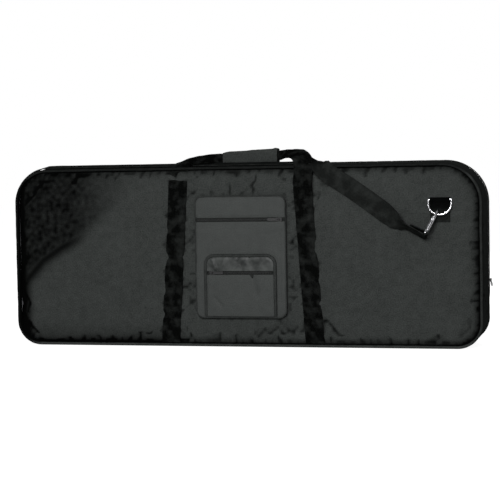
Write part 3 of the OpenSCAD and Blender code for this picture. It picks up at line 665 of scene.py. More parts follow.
def hollows(bm, shade, deep):
    """Adds painted shade in each hollow of the cloth: one full step for every deep mm that a point
    lies below its neighbours.
    """
    lows = {}
    for v in bm.verts:
        if v.link_edges:
            around = sum((e.other_vert(v).co for e in v.link_edges), Vector()) / len(v.link_edges)
            lows[v] = (around - v.co).dot(v.normal) / (deep * MM)
    for v, low in lows.items():
        v[shade] = min(1, max(0, v[shade] + max(0, low)))


# %% Make the panels
def cut_sheet(shape, step):
    """A flat grid of cloth in X and Z, cut to an outline."""
    x0, x1, z0, z1, _ = shape
    bm = bmesh.new()
    columns, rows = round((x1 - x0) / step), round((z1 - z0) / step)
    bmesh.ops.create_grid(bm, x_segments=columns, y_segments=rows, size=0.5)
    for v in bm.verts:
        v.co = ((x0 + x1) / 2 + v.co.x * (x1 - x0), 0, (z0 + z1) / 2 + v.co.y * (z1 - z0))
    off = [v for v in bm.verts if from_edge(v.co.x, v.co.z, shape)[0] < -0.5 * step]
    bmesh.ops.delete(bm, geom=off, context="VERTS")
    for v in bm.verts:
        inside, bx, bz = from_edge(v.co.x, v.co.z, shape)
        if v.is_boundary or inside < 0.35 * step:
            v.co.x, v.co.z = bx, bz
    uv = bm.loops.layers.uv.new("cloth")
    for face in bm.faces:
        for loop in face.loops:
            loop[uv].uv = (loop.vert.co.x * MM, loop.vert.co.z * MM)
    return bm


def back_up(bm, y):
    """Closes a sheet into a slab with a flat back at y."""
    grown = bmesh.ops.extrude_face_region(bm, geom=bm.faces[:], use_keep_orig=True)
    for v in grown["geom"]:
        if isinstance(v, bmesh.types.BMVert):
            v.co.y = y * MM
    face_out(bm)
    return bm


def panel_held(x, z, seed):
    """Where a panel is sewn down: its seam, under the straps and, in front, at the pocket."""
    if from_edge(x, z, PANEL)[0] < 1 or (beside_strap(x, z) < 15 and z < 355):
        return True
    return seed == 1 and abs(x - 2) < 98 and 61 < z < 317


def panel(side, seed):
    bm = cut_sheet(PANEL, 7)
    y = SIDES[side]
    for v in bm.verts:
        x, z = v.co.x, v.co.z
        inside, bx, bz = from_edge(x, z, PANEL)
        start = panel_depth(x, z, seed) + 0.8 * abs(ripple(x, seed * 5, z, 15))
        start += 3.0 * folds(bx, bz, inside, seed, 30) * math.exp(-max(0, inside) / 12)
        v.co = Vector((x, y * (HALF_D - start), z)) * MM
    if side == "back":
        bmesh.ops.reverse_faces(bm, faces=bm.faces)
    bm = settle(bm, lambda v: panel_held(v.co.x / MM, v.co.z / MM, seed), 0.05, 4, 8)
    # Painted shade: the cloth is painted dark in the seam, along the crease and in its corner, at
    # the ends and the foot, and in every hollow.
    shade = bm.verts.layers.float.new("painted_shade")
    for v in bm.verts:
        v.co.y = y * min(abs(v.co.y), HALF_D * MM + 0.0008)
        v[shade] = painted_shade(v.co.x / MM, v.co.z / MM, seed)
    bm.normal_update()
    hollows(bm, shade, 0.45)
    back_up(bm, y * 59.5)
    piece = make_piece(side + "_padded_panel", bm, cover_cloth, BODY[side],
                       [side + "_panel", side + "_foam"], sharp=75)


SEEDS = {"front": 1, "back": 2}
for side, seed in SEEDS.items():
    panel(side, seed)

# %% [markdown]
# ## Piping and sides
#
# A cord covered in cloth is caught in the seam between panel and side, and stiffens the edge.
# The side runs from there to the zip. It is padded too, so it swells between its two seams and
# gathers at the piping. Both are grids that go once round the case and are welded at the end.

# %% The sides and the piping
PIPING_Y = 73
DOME_Y = 72
SIDE_PARTS = ("top", "left_end", "right_end", "base", "left_foot", "right_foot")
ROUND = walk(outline(0), 5)


def swell_at(z):
    """The sides swell along the zip, and lie flat where the case stands."""
    return SWELL * ease((z - 58) / 54)


def side_point(spot, y, out):
    x, z, nx, nz = spot
    d = swell_at(z) * max(0, 1 - (y / DOME_Y) ** 2) + out
    return (x + nx * d, y, z + nz * d)


def side_cloth(side):
    """One half's side, from the zip to the piping, swollen and gathered."""
    rows, sign = 11, SIDES[side]
    start = 0.3 if side == "front" else 0.0

    def place(i, j):
        x, z, nx, nz = ROUND[i]
        t = j / rows
        first = start + (9.7 - start) * ease((z - 108) / 10)
        y = first + (70.4 - first) * t
        lift = ease((z - 30) / 60)
        uneven = 0.5 * ripple(x, sign * y, z, 16) * lift * math.sin(math.pi * t)
        return side_point((x, z, nx, nz), sign * y, min(uneven, 0) if nz < -0.3 else uneven - 0.2)

    bm = cloth_grid(len(ROUND) - 1, rows, place, closed=True)
    bm.normal_update()
    if sum(f.normal.dot(from_middle(f.calc_center_median())) for f in bm.faces) < 0:
        bmesh.ops.reverse_faces(bm, faces=bm.faces)

    def held(v):
        under_strap = side == "front" and 18 < abs(v.co.y) / MM < 62 and v.co.x < 120 * MM
        return v.is_boundary or v.co.z < 12 * MM or (under_strap and v.co.z > 200 * MM)

    bm = settle(bm, held, 0.06, 3, 5)
    shade = bm.verts.layers.float.new("painted_shade")
    for v in bm.verts:
        x, y, z = v.co / MM
        inside, bx, bz = from_edge(x, z, outline(0))
        most = swell_at(z) * max(0, 1 - (y / DOME_Y) ** 2) + (1.2 if z > 40 else 0)
        if -inside > most:
            k = most / -inside
            x, z = bx + (x - bx) * k, bz + (z - bz) * k
        v.co = Vector((x, y, max(z, 0))) * MM
        # Painted shade: in front the left end is painted near black, the whole side a little dark,
        # more so next to the piping, and every hollow darker.
        left = 0.9 * (1 - ease((x + 500) / 40)) if side == "front" else 0
        v[shade] = max(left, 0.45 + 0.4 * math.exp(-(70.4 - abs(y)) / 5))
    bm.normal_update()
    hollows(bm, shade, 0.8)
    thicken(bm, 1.6, from_middle)
    piece = make_piece(side + "_side", bm, cover_cloth, BODY[side],
                       [side + "_" + part for part in SIDE_PARTS], sharp=80)


def piping(side, seed):
    """The covered cord in the seam, a tube that the stitches pull a little out of round."""
    spots_round = walk(outline(0.8, 3.3), 5)
    sign, sides = SIDES[side], 10

    def place(i, j):
        x, z, nx, nz = spots_round[i]
        a = 2 * math.pi * j / sides
        r = 3 + 0.35 * ripple(x, seed * 9, z, 9) - 0.25
        sway = 0.5 * ripple(x, seed * 13, z, 40) * (1 if nz > -0.5 else 0)
        return (x + nx * (r * math.cos(a) + sway), sign * (PIPING_Y + r * math.sin(a)),
                z + nz * (r * math.cos(a) + sway))

    bm = cloth_grid(len(spots_round) - 1, sides, place, closed=True)
    # Painted shade: the piping is painted darker along the top, at the right end and, in front, at
    # the left end.
    shade = bm.verts.layers.float.new("painted_shade")
    for v in bm.verts:
        x, z = v.co.x / MM, v.co.z / MM
        left = 0.9 * (1 - ease((x + 480) / 40)) if side == "front" else 0
        v[shade] = max(left, 0.75 * ease((z - 340) / 30), 0.45 * ease((x - 470) / 20))
    face_out(bm)

    def flange(i, j):
        x, z, nx, nz = spots_round[i]
        off = 4.4 * j / 2
        return (x - nx * off, sign * (70.2 - 0.7 * off), z - nz * off)

    strip = cloth_grid(len(spots_round) - 1, 2, flange, closed=True)
    thicken(strip, 0.6, lambda point: Vector((0, -1 if side == "front" else 1, 0)))
    # The flange is painted fully dark, as painted shade deep in the seam behind the piping.
    dark = strip.verts.layers.float.new("painted_shade")
    for v in strip.verts:
        v[dark] = 1
    join(bm, strip)
    return make_piece(side + "_edge_piping", bm, piping_cloth, BODY[side],
                      [side + "_piping"], sharp=80)


for side, seed in SEEDS.items():
    side_cloth(side)
    piping(side, seed)

# %% [markdown]
# ## The main zip
#
# Two knitted tapes lie under the edges of the sides, each with a row of nylon loops. The loops
# of one row close the gaps of the other. One loop is a small bent block, and it is set again and
# again along the tape, so it has few faces.

# %% Tape and teeth of the main zip
def along_zip():
    """The points of the outline that the zip follows, from the right side over the top."""
    right_low = (HALF_L, ZIP_END + 2, 1, 0)
    left_low = (-HALF_L, ZIP_END + 2, -1, 0)
    return [right_low, *[p for p in ROUND if p[1] > ZIP_END + 3], left_low]


ZIP_LINE = along_zip()


def zip_tape(side):
    sign, rows = SIDES[side], 4

    def place(i, j):
        y = sign * (0.5 + 17.5 * j / rows)
        x, z = ZIP_LINE[i][:2]
        return side_point(ZIP_LINE[i], y, -1.9 - 0.2 * ripple(x, y, z, 20))

    bm = thicken(cloth_grid(len(ZIP_LINE) - 1, rows, place), 0.8, from_middle)
    return make_piece(side + "_main_tape", bm, tape_cloth, BODY[side],
                      [side + "_zip_tape"])


def tooth_mesh(long, wide, high):
    """One loop of a zip's coil: a small block, pinched at the end that locks."""
    bm = bmesh.new()
    bmesh.ops.create_cube(bm, size=1)
    for v in bm.verts:
        pinch = 0.8 if v.co.y > 0 else 1.1
        v.co = Vector((v.co.x * long * pinch, v.co.y * wide, v.co.z * high)) * MM
    bmesh.ops.bevel(bm, geom=bm.edges[:], offset=0.3 * MM, offset_type="OFFSET", segments=1,
                    profile=0.5, affect="EDGES", material=-1)
    return to_mesh("tooth", bm)


def row_of_teeth(name, places, tooth, body, stands_for):
    """Sets one tooth at each matrix of places."""
    bm = bmesh.new()
    for matrix in places:
        first = len(bm.verts)
        bm.from_mesh(tooth)
        bm.verts.ensure_lookup_table()
        bmesh.ops.transform(bm, matrix=matrix, verts=bm.verts[first:])
    return make_piece(name, bm, nylon, body, stands_for, sharp=30)


def evenly(line, pitch, offset):
    """Points at even distances along a line of (x, z, nx, nz), each with its heading."""
    found, total, wanted = [], 0.0, offset
    for a, b in zip(line, line[1:]):
        length = math.dist(a[:2], b[:2])
        while wanted <= total + length:
            t = (wanted - total) / length
            spot = tuple(p + (q - p) * t for p, q in zip(a, b))
            found.append((spot, Vector((b[0] - a[0], 0, b[1] - a[1])).normalized()))
            wanted += pitch
        total += length
    return found


def main_teeth(side, offset):
    sign = SIDES[side]
    places = []
    for spot, heading in evenly(ZIP_LINE, 2.6, offset):
        out = Vector((spot[2], 0, spot[3])).normalized()
        inward = Vector((0, -sign, 0))
        at = Vector(side_point(spot, sign * 1.0, -0.9)) * MM
        places.append(Matrix.Translation(at)
                      @ Matrix((heading, inward, out)).transposed().to_4x4())
    return row_of_teeth(side + "_main_teeth", places, tooth_mesh(1.35, 3.6, 1.8), BODY[side],
                        [side + "_zip_coil"])


for side, offset in (("front", 0.0), ("back", 1.3)):
    zip_tape(side)
    main_teeth(side, offset)

# %% [markdown]
# ## Webbing
#
# Webbing bends one way and twists, but it doesn't stretch. So a strap is drawn as stations: a
# middle point, the direction across, a width and a thickness. A smooth curve through the
# stations gives the strap, and the same helper lays every strap, handle and tab on the case.

# %% The webbing helper
def between(a, b, c, d, t):
    """A point of the smooth curve through four points, between the middle two."""
    return (b * 2 + (c - a) * t + (a * 2 - b * 5 + c * 4 - d) * t * t
            + (b * 3 - a - c * 3 + d) * t * t * t) * 0.5


def smooth_stations(stations, step):
    """More stations between those given, about a step apart, on one smooth line."""
    points = [Vector(s[0]) for s in stations]
    found = []
    for k in range(len(stations) - 1):
        a, d = points[max(0, k - 1)], points[min(len(points) - 1, k + 2)]
        count = max(1, round((points[k + 1] - points[k]).length / step))
        for n in range(count):
            t = n / count
            across = Vector(stations[k][1]).lerp(Vector(stations[k + 1][1]), ease(t))
            size = [p + (q - p) * t for p, q in zip(stations[k][2:], stations[k + 1][2:])]
            found.append((between(a, points[k], points[k + 1], d, t), across, *size))
    return found + [(points[-1], Vector(stations[-1][1]), *stations[-1][2:])]


def lay_webbing(stations, step=4, curl=0.0, seed=0.0, columns=8):
    """A band of webbing along stations of (middle, across, width, thickness), as a bmesh."""
    line = smooth_stations(stations, step)

    def place(i, j):
        middle, across, width, thickness = line[i]
        heading = line[min(i + 1, len(line) - 1)][0] - line[max(i - 1, 0)][0]
        across = across.normalized()
        face = heading.cross(across).normalized()
        t = j / columns * 2 - 1
        edge = 0.35 * ripple(i * step, seed, 0, 22) * (1 if t > 0 else -1) * abs(t)
        lift = -curl * t * t + 0.3 * ripple(i * step, seed, t * 9, 30)
        return middle + across * (t * width / 2 + edge) + face * (thickness / 2 + lift)

    bm = cloth_grid(len(line) - 1, columns, place)
    bm.normal_update()
    bmesh.ops.solidify(bm, geom=bm.faces[:], thickness=WEB_T * MM)
    face_out(bm)
    return bm


print("Webbing follows stations")

# %% The sewn straps and the handles
FLAT = (1, 0, 0)
LEFT_LEG = [
    ((-133.5, 78.7, 361.3), FLAT, 40, 2), ((-133, 78.2, 370.3), FLAT, 40, 2),
    ((-130.5, 78.5, 377), FLAT, 39, 2), ((-126, 76.5, 382.8), (1, 0.08, 0.01), 40, 2),
    ((-115, 67, 387.2), (0.95, 0.3, -0.07), 33.6, 2),
    ((-101, 52, 392), (0.81, 0.45, -0.37), 27, 2), ((-87, 37, 394), (0.65, 0.46, -0.6), 24, 2.4),
    ((-68.5, 19, 395.2), (0.27, 0.33, -0.9), 21.5, 2.6), ((-54, 3, 396.2), (0, 0, -1), 20, 2.6),
    ((-49, 3, 396.4), (0, 0, -1), 20, 2.6), ((-30, 3, 396.9), (0, 0, -1), 20, 2.6)]
TUCKED_IN = [
    ((-133.5, 69, 353), FLAT, 40, 2), ((-133, 66.5, 363), FLAT, 40, 2),
    ((-131, 66.5, 375), FLAT, 39, 2), ((-126.5, 68, 383), (1, 0.08, 0.01), 38, 2)]
RIGHT_END = [((x, 3, z), (0, 0, 1), 20, 2.6) for x, z in ((70, 399.6), (65, 399.5), (40, 398.8))]
RIGHT_LEG = {
    "front": [
        ((137, 78.2, 364.3), FLAT, 40, 2), ((137, 78.2, 378.3), FLAT, 40, 2),
        ((135, 75.5, 390), (0.99, 0.02, 0.14), 42, 2),
        ((128, 67, 397.8), (0.95, 0.14, 0.27), 42, 2),
        ((116.5, 53, 402.2), (0.88, 0.25, 0.41), 40, 2),
        ((99.5, 36, 403.2), (0.72, 0.3, 0.63), 26.4, 2),
        ((83.5, 19, 402.5), (0.46, 0.2, 0.87), 19.6, 2.4), *RIGHT_END],
    "back": [
        ((137, 78.2, 364.3), FLAT, 40, 2), ((134, 78.7, 378), (1, 0.01, 0.05), 38, 2),
        ((120, 69.5, 387.2), (1, 0.03, 0.08), 32, 2),
        ((105.5, 54.5, 396), (0.9, 0.04, 0.43), 23.3, 2),
        ((93.5, 37, 401.2), (0.69, 0.11, 0.72), 18.8, 2.4),
        ((82.5, 20.5, 402.5), (0.46, 0.15, 0.87), 19.5, 2.6), *RIGHT_END]}
HANDLE = {"front": "front_handle", "back": "back_handle"}


def sewn_part(side, x_sign):
    """Stations up the panel, where the webbing follows the cloth under it."""
    found = []
    for z in [8, 14, 22, 32, *range(46, 340, 14), 342]:
        x = x_sign * strap_x(z)
        deepest = min(panel_depth(x + d, z, SEEDS[side]) for d in (-19, -10, 0, 10, 19))
        rise = 1.1 - deepest
        if side == "front" and x_sign < 0:
            rise += 2.2 * ease((z - 250) / 90)
        found.append(((x, HALF_D + max(rise, -4.0), z), (1, 0, 0), WEB_W, WEB_T))
    return found


def strap_and_handle(side, x_sign):
    """One length of webbing from the base up the panel and over into the grip."""
    leg = LEFT_LEG if x_sign < 0 else RIGHT_LEG[side]
    if side == "front" and x_sign < 0:
        leg = TUCKED_IN + LEFT_LEG[4:]
    stations = sewn_part(side, x_sign) + leg
    sign = SIDES[side]
    stations = [((p[0], sign * p[1], p[2]), (a[0], sign * a[1], a[2]), w, t)
                for p, a, w, t in stations]
    bm = lay_webbing(stations, 4, curl=0.5, seed=x_sign * 40 + sign * 7)
    name = "left" if x_sign < 0 else "right"
    piece = make_piece(f"{side}_webbing_{name}", bm, webbing, None,
                       [f"{side}_straps", f"{side}_handle_{name}_leg"], sharp=60)
    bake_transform(piece)
    return piece


for side in SIDES:
    for x_sign in (-1, 1):
        strap_and_handle(side, x_sign)

# %% [markdown]
# ## The hand grip
#
# The padded wrap holds both handles together. Each half is one soft pad, fuller in the middle,
# with bound ends and two quilted lines. It starts as a ring of points that is drawn along the
# handle and closed at both ends.

# %% The grip
GRIP_X0, GRIP_X1, GRIP_Z0 = -51, 67, 383.8


def grip_half(side):
    sign, columns, sides = SIDES[side], 44, 40

    def place(i, j):
        t = i / columns * 2 - 1
        a = 2 * math.pi * j / sides
        c, s = math.cos(a), math.sin(a)
        fat = 1 - 0.07 * abs(t) ** 6 + 0.02 * math.sin(7 * t)
        high = 12.5 + 3.25 * (t + 1) / 2
        # a squarish ring, flat where the two halves meet
        power = 0.55
        z = high * fat * math.copysign(abs(s) ** power, s)
        y = 7.6 + 7.2 * fat * math.copysign(abs(c) ** power, c)
        quilt = 0.8 * math.exp(-((abs(z) - 5.5) / 1.0) ** 2) if c > 0.2 else 0
        crease = 0.7 * ripple(t * 60, z * 0.6, sign * 8, 9) * (1 - abs(t) ** 8)
        y = max(0.2, y - quilt + (crease if c > 0.2 else 0))
        z += 0.8 * ripple(t * 60, 40, sign * 8, 14)
        ear = 1.6 * math.exp(-((t - 0.93) / 0.05) ** 2) * (s > 0.5)
        return ((GRIP_X0 + GRIP_X1) / 2 + t * (GRIP_X1 - GRIP_X0) / 2, sign * y,
                GRIP_Z0 + high + z + ear)

    bm = cloth_grid(columns, sides, place, closed=True)
    ends = [e for e in bm.edges if e.is_boundary]
    bmesh.ops.holes_fill(bm, edges=ends, sides=0)
    face_out(bm)
    piece = make_piece(side + "_grip_pad", bm, cover_cloth, HANDLE[side],
                       [side + "_grip"], sharp=60)
    return piece


for side in SIDES:
    grip_half(side)

# %% [markdown]
# ## The large pocket
#
# The pocket is a shallow box of smoother coated cloth: a wall round its edge, a front, and a
# band above the zip. Its front bows out a little and has a few soft folds. A thin bound edge
# runs where the front meets the wall.

# %% The shape of a pocket
POCKET_X = 2
POCKET_ZIP = 267
POCKET_FACE = 86.8


def rounded(x0, x1, z0, z1, top, low):
    """An outline with one corner radius at the top and one at the foot."""
    return (x0, x1, z0, z1, {(True, True): top, (False, True): top, (True, False): low,
                             (False, False): low})


POCKET = rounded(POCKET_X - 97, POCKET_X + 97, 62, 316, 14, 16)


def line_dent(x, z, a, b, wide, deep):
    """A soft groove along a line from a to b."""
    dx, dz = b[0] - a[0], b[1] - a[1]
    t = min(1, max(0, ((x - a[0]) * dx + (z - a[1]) * dz) / (dx * dx + dz * dz)))
    off = math.hypot(x - a[0] - t * dx, z - a[1] - t * dz)
    return deep * math.exp(-(off / wide) ** 2)


def pocket_face(x, z):
    """How far the pocket's cloth stands in front of the case's middle plane, in mm."""
    inside, bx, bz = from_edge(x, z, POCKET)
    edge = 2.2 * (1 - ease(inside / 5))
    bow = 1.8 * ease(inside / 45)
    bow *= ease((POCKET_ZIP - z) / 40 if z < POCKET_ZIP else (z - POCKET_ZIP) / 12)
    soft = 0.9 * ripple(x, 3, z, 60) + 0.35 * ripple(x, 8, z, 19)
    gather = 0.9 * folds(bx, bz, inside, 4, 34) * math.exp(-inside / 12)
    groove = line_dent(x, z, (86, 95), (87, 245), 3.0, 1.3)
    groove += line_dent(x, z, (55, 236), (80, 239), 4.0, 1.2)
    lip = 0.8 * math.exp(-(abs(z - POCKET_ZIP) - 4.3) / 3)
    return POCKET_FACE - edge + bow + soft - gather - groove - min(0.8, lip)


def cut_cloth(name, shape, step, face, heights, finish, thickness, stands_for):
    """The part of a pocket's front between two heights, cut from one sheet, with its relief."""
    bm = cut_sheet(shape, step)
    for height, way in zip(heights, (-1, 1)):
        if height is not None:
            bmesh.ops.bisect_plane(bm, geom=bm.verts[:] + bm.edges[:] + bm.faces[:],
                                   plane_co=(0, 0, height), plane_no=(0, 0, way),
                                   clear_outer=True)
    for v in bm.verts:
        x, z = v.co.x, v.co.z
        v.co = Vector((x, -face(x, z), z)) * MM
    thicken(bm, thickness, to_front)
    return make_piece(name, bm, finish, "lid", stands_for, sharp=60)


for name, heights, node in (
        ("pocket_front_cloth", (None, POCKET_ZIP - 4.3), "pocket_front"),
        ("pocket_top_cloth", (POCKET_ZIP + 4.3, None), "pocket_top_band")):
    cut_cloth(name, POCKET, 2.5, pocket_face, heights, pocket_cloth, 1.2, [node])


def pocket_wall(y0, y1):
    """The wall round the large pocket from depth y0 to y1."""
    line = walk(POCKET, 4)

    def place(i, j):
        x, z, nx, nz = line[i]
        t = j / 5
        out = 0.5 * ripple(x, t * 20, z, 15) * math.sin(math.pi * t) - 0.3
        return (x + nx * out, -(y0 + (y1 - y0) * t), z + nz * out)

    bm = thicken(cloth_grid(len(line) - 1, 5, place, closed=True), 1.2, from_middle)
    return make_piece("pocket_side", bm, pocket_cloth, "lid", ["pocket_wall"],
                      sharp=60)


def bound_edge(shape, y, r):
    """A thin rolled edge that runs once round the large pocket, between its wall and front."""
    line = walk(shape, 4)

    def place(i, j):
        x, z, nx, nz = line[i]
        a = 2 * math.pi * j / 8
        q = r * (1 + 0.15 * ripple(x, 2, z, 8))
        return (x + nx * q * math.cos(a), -(y + q * math.sin(a)), z + nz * q * math.cos(a))

    bm = cloth_grid(len(line) - 1, 8, place, closed=True)
    face_out(bm)
    return make_piece("pocket_edge", bm, binding_cloth, "lid", sharp=80)


pocket_wall(74.8, 85.2)
bound_edge(rounded(-94.6, 98.6, 62.4, 315.6, 14, 16), 84.9, 1.25)


# %% The pocket zips
def pocket_tape(name, middle_x, half_l, z, y, wide, stands_for):
    """Both tapes of a pocket zip, each a narrow strip of knitted cloth."""
    bm = bmesh.new()
    for s in (-1, 1):
        strip = cloth_grid(60, 3, lambda i, j: (middle_x + (i / 30 - 1) * half_l,
                                                -y - 0.15 * ripple(i * 3, s * 9, j, 12),
                                                z + s * (0.4 + wide * j / 3)))
        thicken(strip, 0.6, to_front)
        join(bm, strip)
    return make_piece(name, bm, tape_cloth, "lid", stands_for)


def pocket_teeth(name, middle_x, half_l, z, y, stands_for):
    places = []
    for k in range(int(2 * half_l / 1.7)):
        s = 1 if k % 2 else -1
        x = middle_x - half_l + 1.7 * k
        turn = Matrix(((1, 0, 0), (0, 0, -1), (0, 1, 0))).to_4x4()
        flip = Matrix.Rotation(math.pi if s > 0 else 0, 4, "Y")
        places.append(Matrix.Translation(Vector((x, -y, z + s * 0.55)) * MM) @ flip @ turn)
    return row_of_teeth(name, places, tooth_mesh(1.5, 3.2, 1.3), "lid", stands_for)


pocket_tape("pocket_tapes", POCKET_X, 94.5, POCKET_ZIP, 84.6, 11.5, ["pocket_zip_tape"])
pocket_teeth("pocket_teeth", POCKET_X, 92, POCKET_ZIP, 85.9, ["pocket_zip_coil"])

# %% [markdown]
# ## The small pocket
#
# It sits low on the large pocket. A folded binding runs up its sides and over its top, a sheet
# of film with sharp creases fills the arch above the zip, and coated cloth the part below.

# %% The small pocket
SMALL_IN = rounded(POCKET_X - 71.4, POCKET_X + 71.4, 66, 189.4, 15.4, 1.5)
SMALL_ZIP = 157
SMALL_FACE = 93


def small_binding():
    """The folded tape round the arch, thick in the middle and thin at its two edges."""
    whole = walk(rounded(POCKET_X - 74.5, POCKET_X + 74.5, 66, 192.5, 18.5, 1.5), 3)
    line = [p for p in whole if p[3] >= -0.05]

    def place(i, j):
        x, z, nx, nz = line[i]
        a = 2 * math.pi * j / 14
        across = 3.4 * math.cos(a)
        height = 3.6 * math.copysign(abs(math.sin(a)) ** 0.8, math.sin(a))
        pinch = 0.35 * ripple(x, a * 2, z, 9)
        return (x + nx * (across + pinch), -(90.6 + height + pinch), z + nz * (across + pinch))

    bm = cloth_grid(len(line) - 1, 14, place, closed=True)
    bmesh.ops.holes_fill(bm, edges=[e for e in bm.edges if e.is_boundary], sides=0)
    face_out(bm)
    return make_piece("small_pocket_binding", bm, binding_cloth, "lid",
                      ["small_binding"], sharp=80)


def small_face(x, z):
    """The relief of the small pocket: a dimple under the zip, creases in the film above it."""
    inside = from_edge(x, z, SMALL_IN)[0]
    value = SMALL_FACE - 0.4
    if z > SMALL_ZIP:
        value += 0.9 * ripple(x, 14, z * 0.7, 13) + 0.3 * ripple(x, 15, z, 6)
        value -= line_dent(x, z, (22, 189), (31, 164), 9, 1.0)
        value += line_dent(x, z, (-58, 185), (-50, 166), 3, 1.6)
        value += line_dent(x, z, (-30, 187), (-38, 168), 3, 1.2)
        return value - 0.8 * (1 - ease(inside / 5))
    value += 1.8 * ease(inside / 30) * ease((SMALL_ZIP - z) / 25)
    value += 0.9 * ripple(x, 6, z, 34) + 0.5 * ripple(x, 7, z, 13)
    value -= line_dent(x, z, (27, 152), (36, 118), 7, 3.0)
    value -= line_dent(x, z, (-52, 104), (-38, 88), 4, 1.8)
    value += line_dent(x, z, (-62, 156), (-66, 138), 4, 1.2)
    return value - 0.8 * (1 - ease(inside / 5))


small_binding()
cut_cloth("small_pocket_cloth", SMALL_IN, 1.8, small_face, (None, SMALL_ZIP - 4.3), pocket_cloth,
          1.2, ["small_panel"])
cut_cloth("small_pocket_film", SMALL_IN, 1.8, small_face, (SMALL_ZIP + 3.8, None), film,
          0.6, ["small_window"])
pocket_tape("small_tapes", POCKET_X, 70.5, SMALL_ZIP, 90.8, 8.6, ["small_zip_tape"])
pocket_teeth("small_teeth", POCKET_X, 68, SMALL_ZIP, 92.1, ["small_zip_coil"])

# %% [markdown]
# ## The shoulder strap and its fittings
#
# The strap goes from the hook on the front, over the top between the handles, along the case and
# down the left end, where it is sewn flat. At the hook it turns round a bar and is sewn back on
# itself. It lies flat on the cloth, and rolls over the edge where it goes from front to top.

# %% The strap
BY_HOOK = (0.14, -0.951, 0.275)
ON_FRONT = (0.6, 0, 0.8)
ON_TOP = (0, 1, 0.109)
ON_END = (-0.109, 1, 0)
ROUTE = [
    ((360.5, -103.5, 250.6), BY_HOOK), ((373.2, -102.8, 244.7), BY_HOOK),
    ((384, -102.1, 239.6), BY_HOOK), ((391.1, -101.8, 235.9), BY_HOOK),
    ((392.4, -101.9, 234.9), BY_HOOK), ((392.9, -102.2, 233.4), BY_HOOK),
    ((392.6, -102.6, 231.9), BY_HOOK), ((391.6, -103.1, 230.7), BY_HOOK),
    ((390.1, -103.5, 230.3), BY_HOOK), ((388.5, -103.7, 230.6), BY_HOOK),
    ((355.5, -104.8, 249.4), BY_HOOK), ((339, -97, 255.5), (0.32, -0.8, 0.5)),
    ((322, -88.5, 266.5), (0.5, -0.42, 0.76)), ((301, -81.2, 282.5), (0.58, -0.06, 0.81)),
    ((273.6, -79.2, 302.6), ON_FRONT), ((236.6, -79.2, 328.8), ON_FRONT),
    ((210, -79.6, 346.5), ON_FRONT), ((194, -82, 357), (0.6, 0.1, 0.78)),
    ((180, -83, 370), (0.6, 0.3, 0.68)), ((172, -79, 376), (0.58, 0.55, 0.4)),
    ((164, -68, 381.5), (0.45, 0.87, 0.12)), ((150, -56, 384), (0.48, 0.87, 0.1)),
    ((130, -45, 384), (0.22, 0.97, 0.1)),
    *[((x, -40.5, 382.9), ON_TOP) for x in (100, 50, -46, -142, -238, -334, -430)],
    ((-445, -40.5, 381.4), (-0.021, 1, 0.107)), ((-459.3, -40.5, 377), (-0.042, 1, 0.1)),
    ((-472.6, -40.5, 370), (-0.06, 1, 0.09)), ((-484.3, -40.5, 360.4), (-0.077, 1, 0.077)),
    ((-493.9, -40.5, 348.7), (-0.09, 1, 0.06)), ((-501, -40.5, 335.4), (-0.1, 1, 0.042)),
    ((-505.4, -40.5, 321), (-0.107, 1, 0.021)), ((-506.9, -40.5, 306), ON_END),
    ((-506.9, -40.5, 259), ON_END), ((-506.5, -40.5, 245), ON_END),
    ((-506.3, -40.5, 205), ON_END)]

strap_line = [(p, a, WEB_W, WEB_T) for p, a in ROUTE]
bm = lay_webbing(strap_line, 3, curl=0.4, seed=5)
make_piece("shoulder_webbing", bm, strap_webbing, "lid", ["shoulder_strap"], sharp=60)


# %% The tab of the D-ring
RING_PLACE = Matrix.Translation((418, -75, 304))


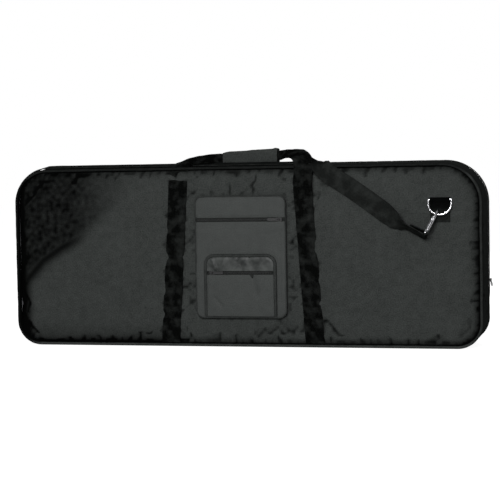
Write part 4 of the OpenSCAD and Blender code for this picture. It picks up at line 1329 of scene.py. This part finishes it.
def ring_tab(place):
    """A short length of webbing round the ring's bar, both ends sewn to the case."""
    bar = Vector((0, -4.8, 0))
    loop = [bar + Vector((0, -3.6 * math.cos(a), 3.6 * math.sin(a)))
            for a in (math.radians(180 - 20 * k) for k in range(1, 11))]
    path = [Vector((0, -1.2, -46)), Vector((0, -1.2, -30)), Vector((0, -1.2, -12)),
            Vector((0, -1.2, -3)), *loop, Vector((0, -6.8, -3.4)), Vector((0, -4.4, -7)),
            Vector((0, -3.5, -12)), Vector((0, -3.4, -30)), Vector((0, -3.4, -45))]
    across = place.to_3x3() @ Vector((1, 0, 0))
    stations = [(place @ p, across, WEB_W, WEB_T) for p in path]
    bm = lay_webbing(stations, 2, seed=9)
    # Painted shade: the tab is painted dark above 275 mm, where it lies inside the ring, and
    # lighter below it.
    shade = bm.verts.layers.float.new("painted_shade")
    for v in bm.verts:
        v[shade] = 0.85 * ease((v.co.z / MM - 275) / 16)
    return make_piece("ring_webbing", bm, strap_webbing, "lid", ["ring_tab"], sharp=60)


ring_tab(RING_PLACE)

# %% [markdown]
# ## The lining
#
# Inside, each half is a tray of thin woven lining: a floor on the foam and a wall that ends at
# the zip tape, where it is turned out and sewn. It shows when the case lies open.

# %% The lining
LINING = outline(11.4)


def lining(side, seed):
    sign = SIDES[side]
    floor_bm = cut_sheet(outline(11.6), 9)
    for v in floor_bm.verts:
        x, z = v.co.x, v.co.z
        inside, bx, bz = from_edge(x, z, LINING)
        soft = 1.4 * ripple(x, seed, z, 60)
        soft += folds(bx, bz, inside, seed, 40) * math.exp(-max(0, inside) / 20)
        v.co = Vector((x, sign * (58.4 - abs(soft)), z)) * MM
    thicken(floor_bm, 0.6, to_front)
    line = walk(LINING, 8)

    def place(i, j):
        x, z, nx, nz = line[i]
        if j == 0:
            return (x + nx * 7.2, sign * 1.6, z + nz * 7.2)
        t = (j - 1) / 7
        wave = 0.7 * ripple(x, t * 30, z, 26) * math.sin(math.pi * t)
        return (x + nx * (wave - 0.4), sign * (1.6 + 57.4 * t), z + nz * (wave - 0.4))

    wall = thicken(cloth_grid(len(line) - 1, 8, place, closed=True), 0.6, from_middle)
    join(wall, floor_bm)
    return make_piece(side + "_lining_cloth", wall, lining_cloth, BODY[side],
                      [side + "_lining", side + "_lining_wall"], sharp=70)


lining("front", 3)
lining("back", 6)

# %% [markdown]
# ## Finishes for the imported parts
#
# The metal parts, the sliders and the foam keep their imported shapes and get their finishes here.

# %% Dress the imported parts
CHROME = ["main_pull_ring", "d_ring", "hook", "hook_bolt", "strap_loop"]
ENAMEL = ["main_slider", "pocket_slider", "pocket_pull", "small_slider", "small_pull"]
dress = {**{n: chrome for n in CHROME}, **{n: enamel for n in ENAMEL},
         "hook_spring": spring_wire, "front_side_foam": foam_finish,
         "back_side_foam": foam_finish}
for name, finish in dress.items():
    packed = frame["nodes"][name]
    packed.data.materials.clear()
    packed.data.materials.append(finish)
print("Dressed", len(dress), "packed parts")
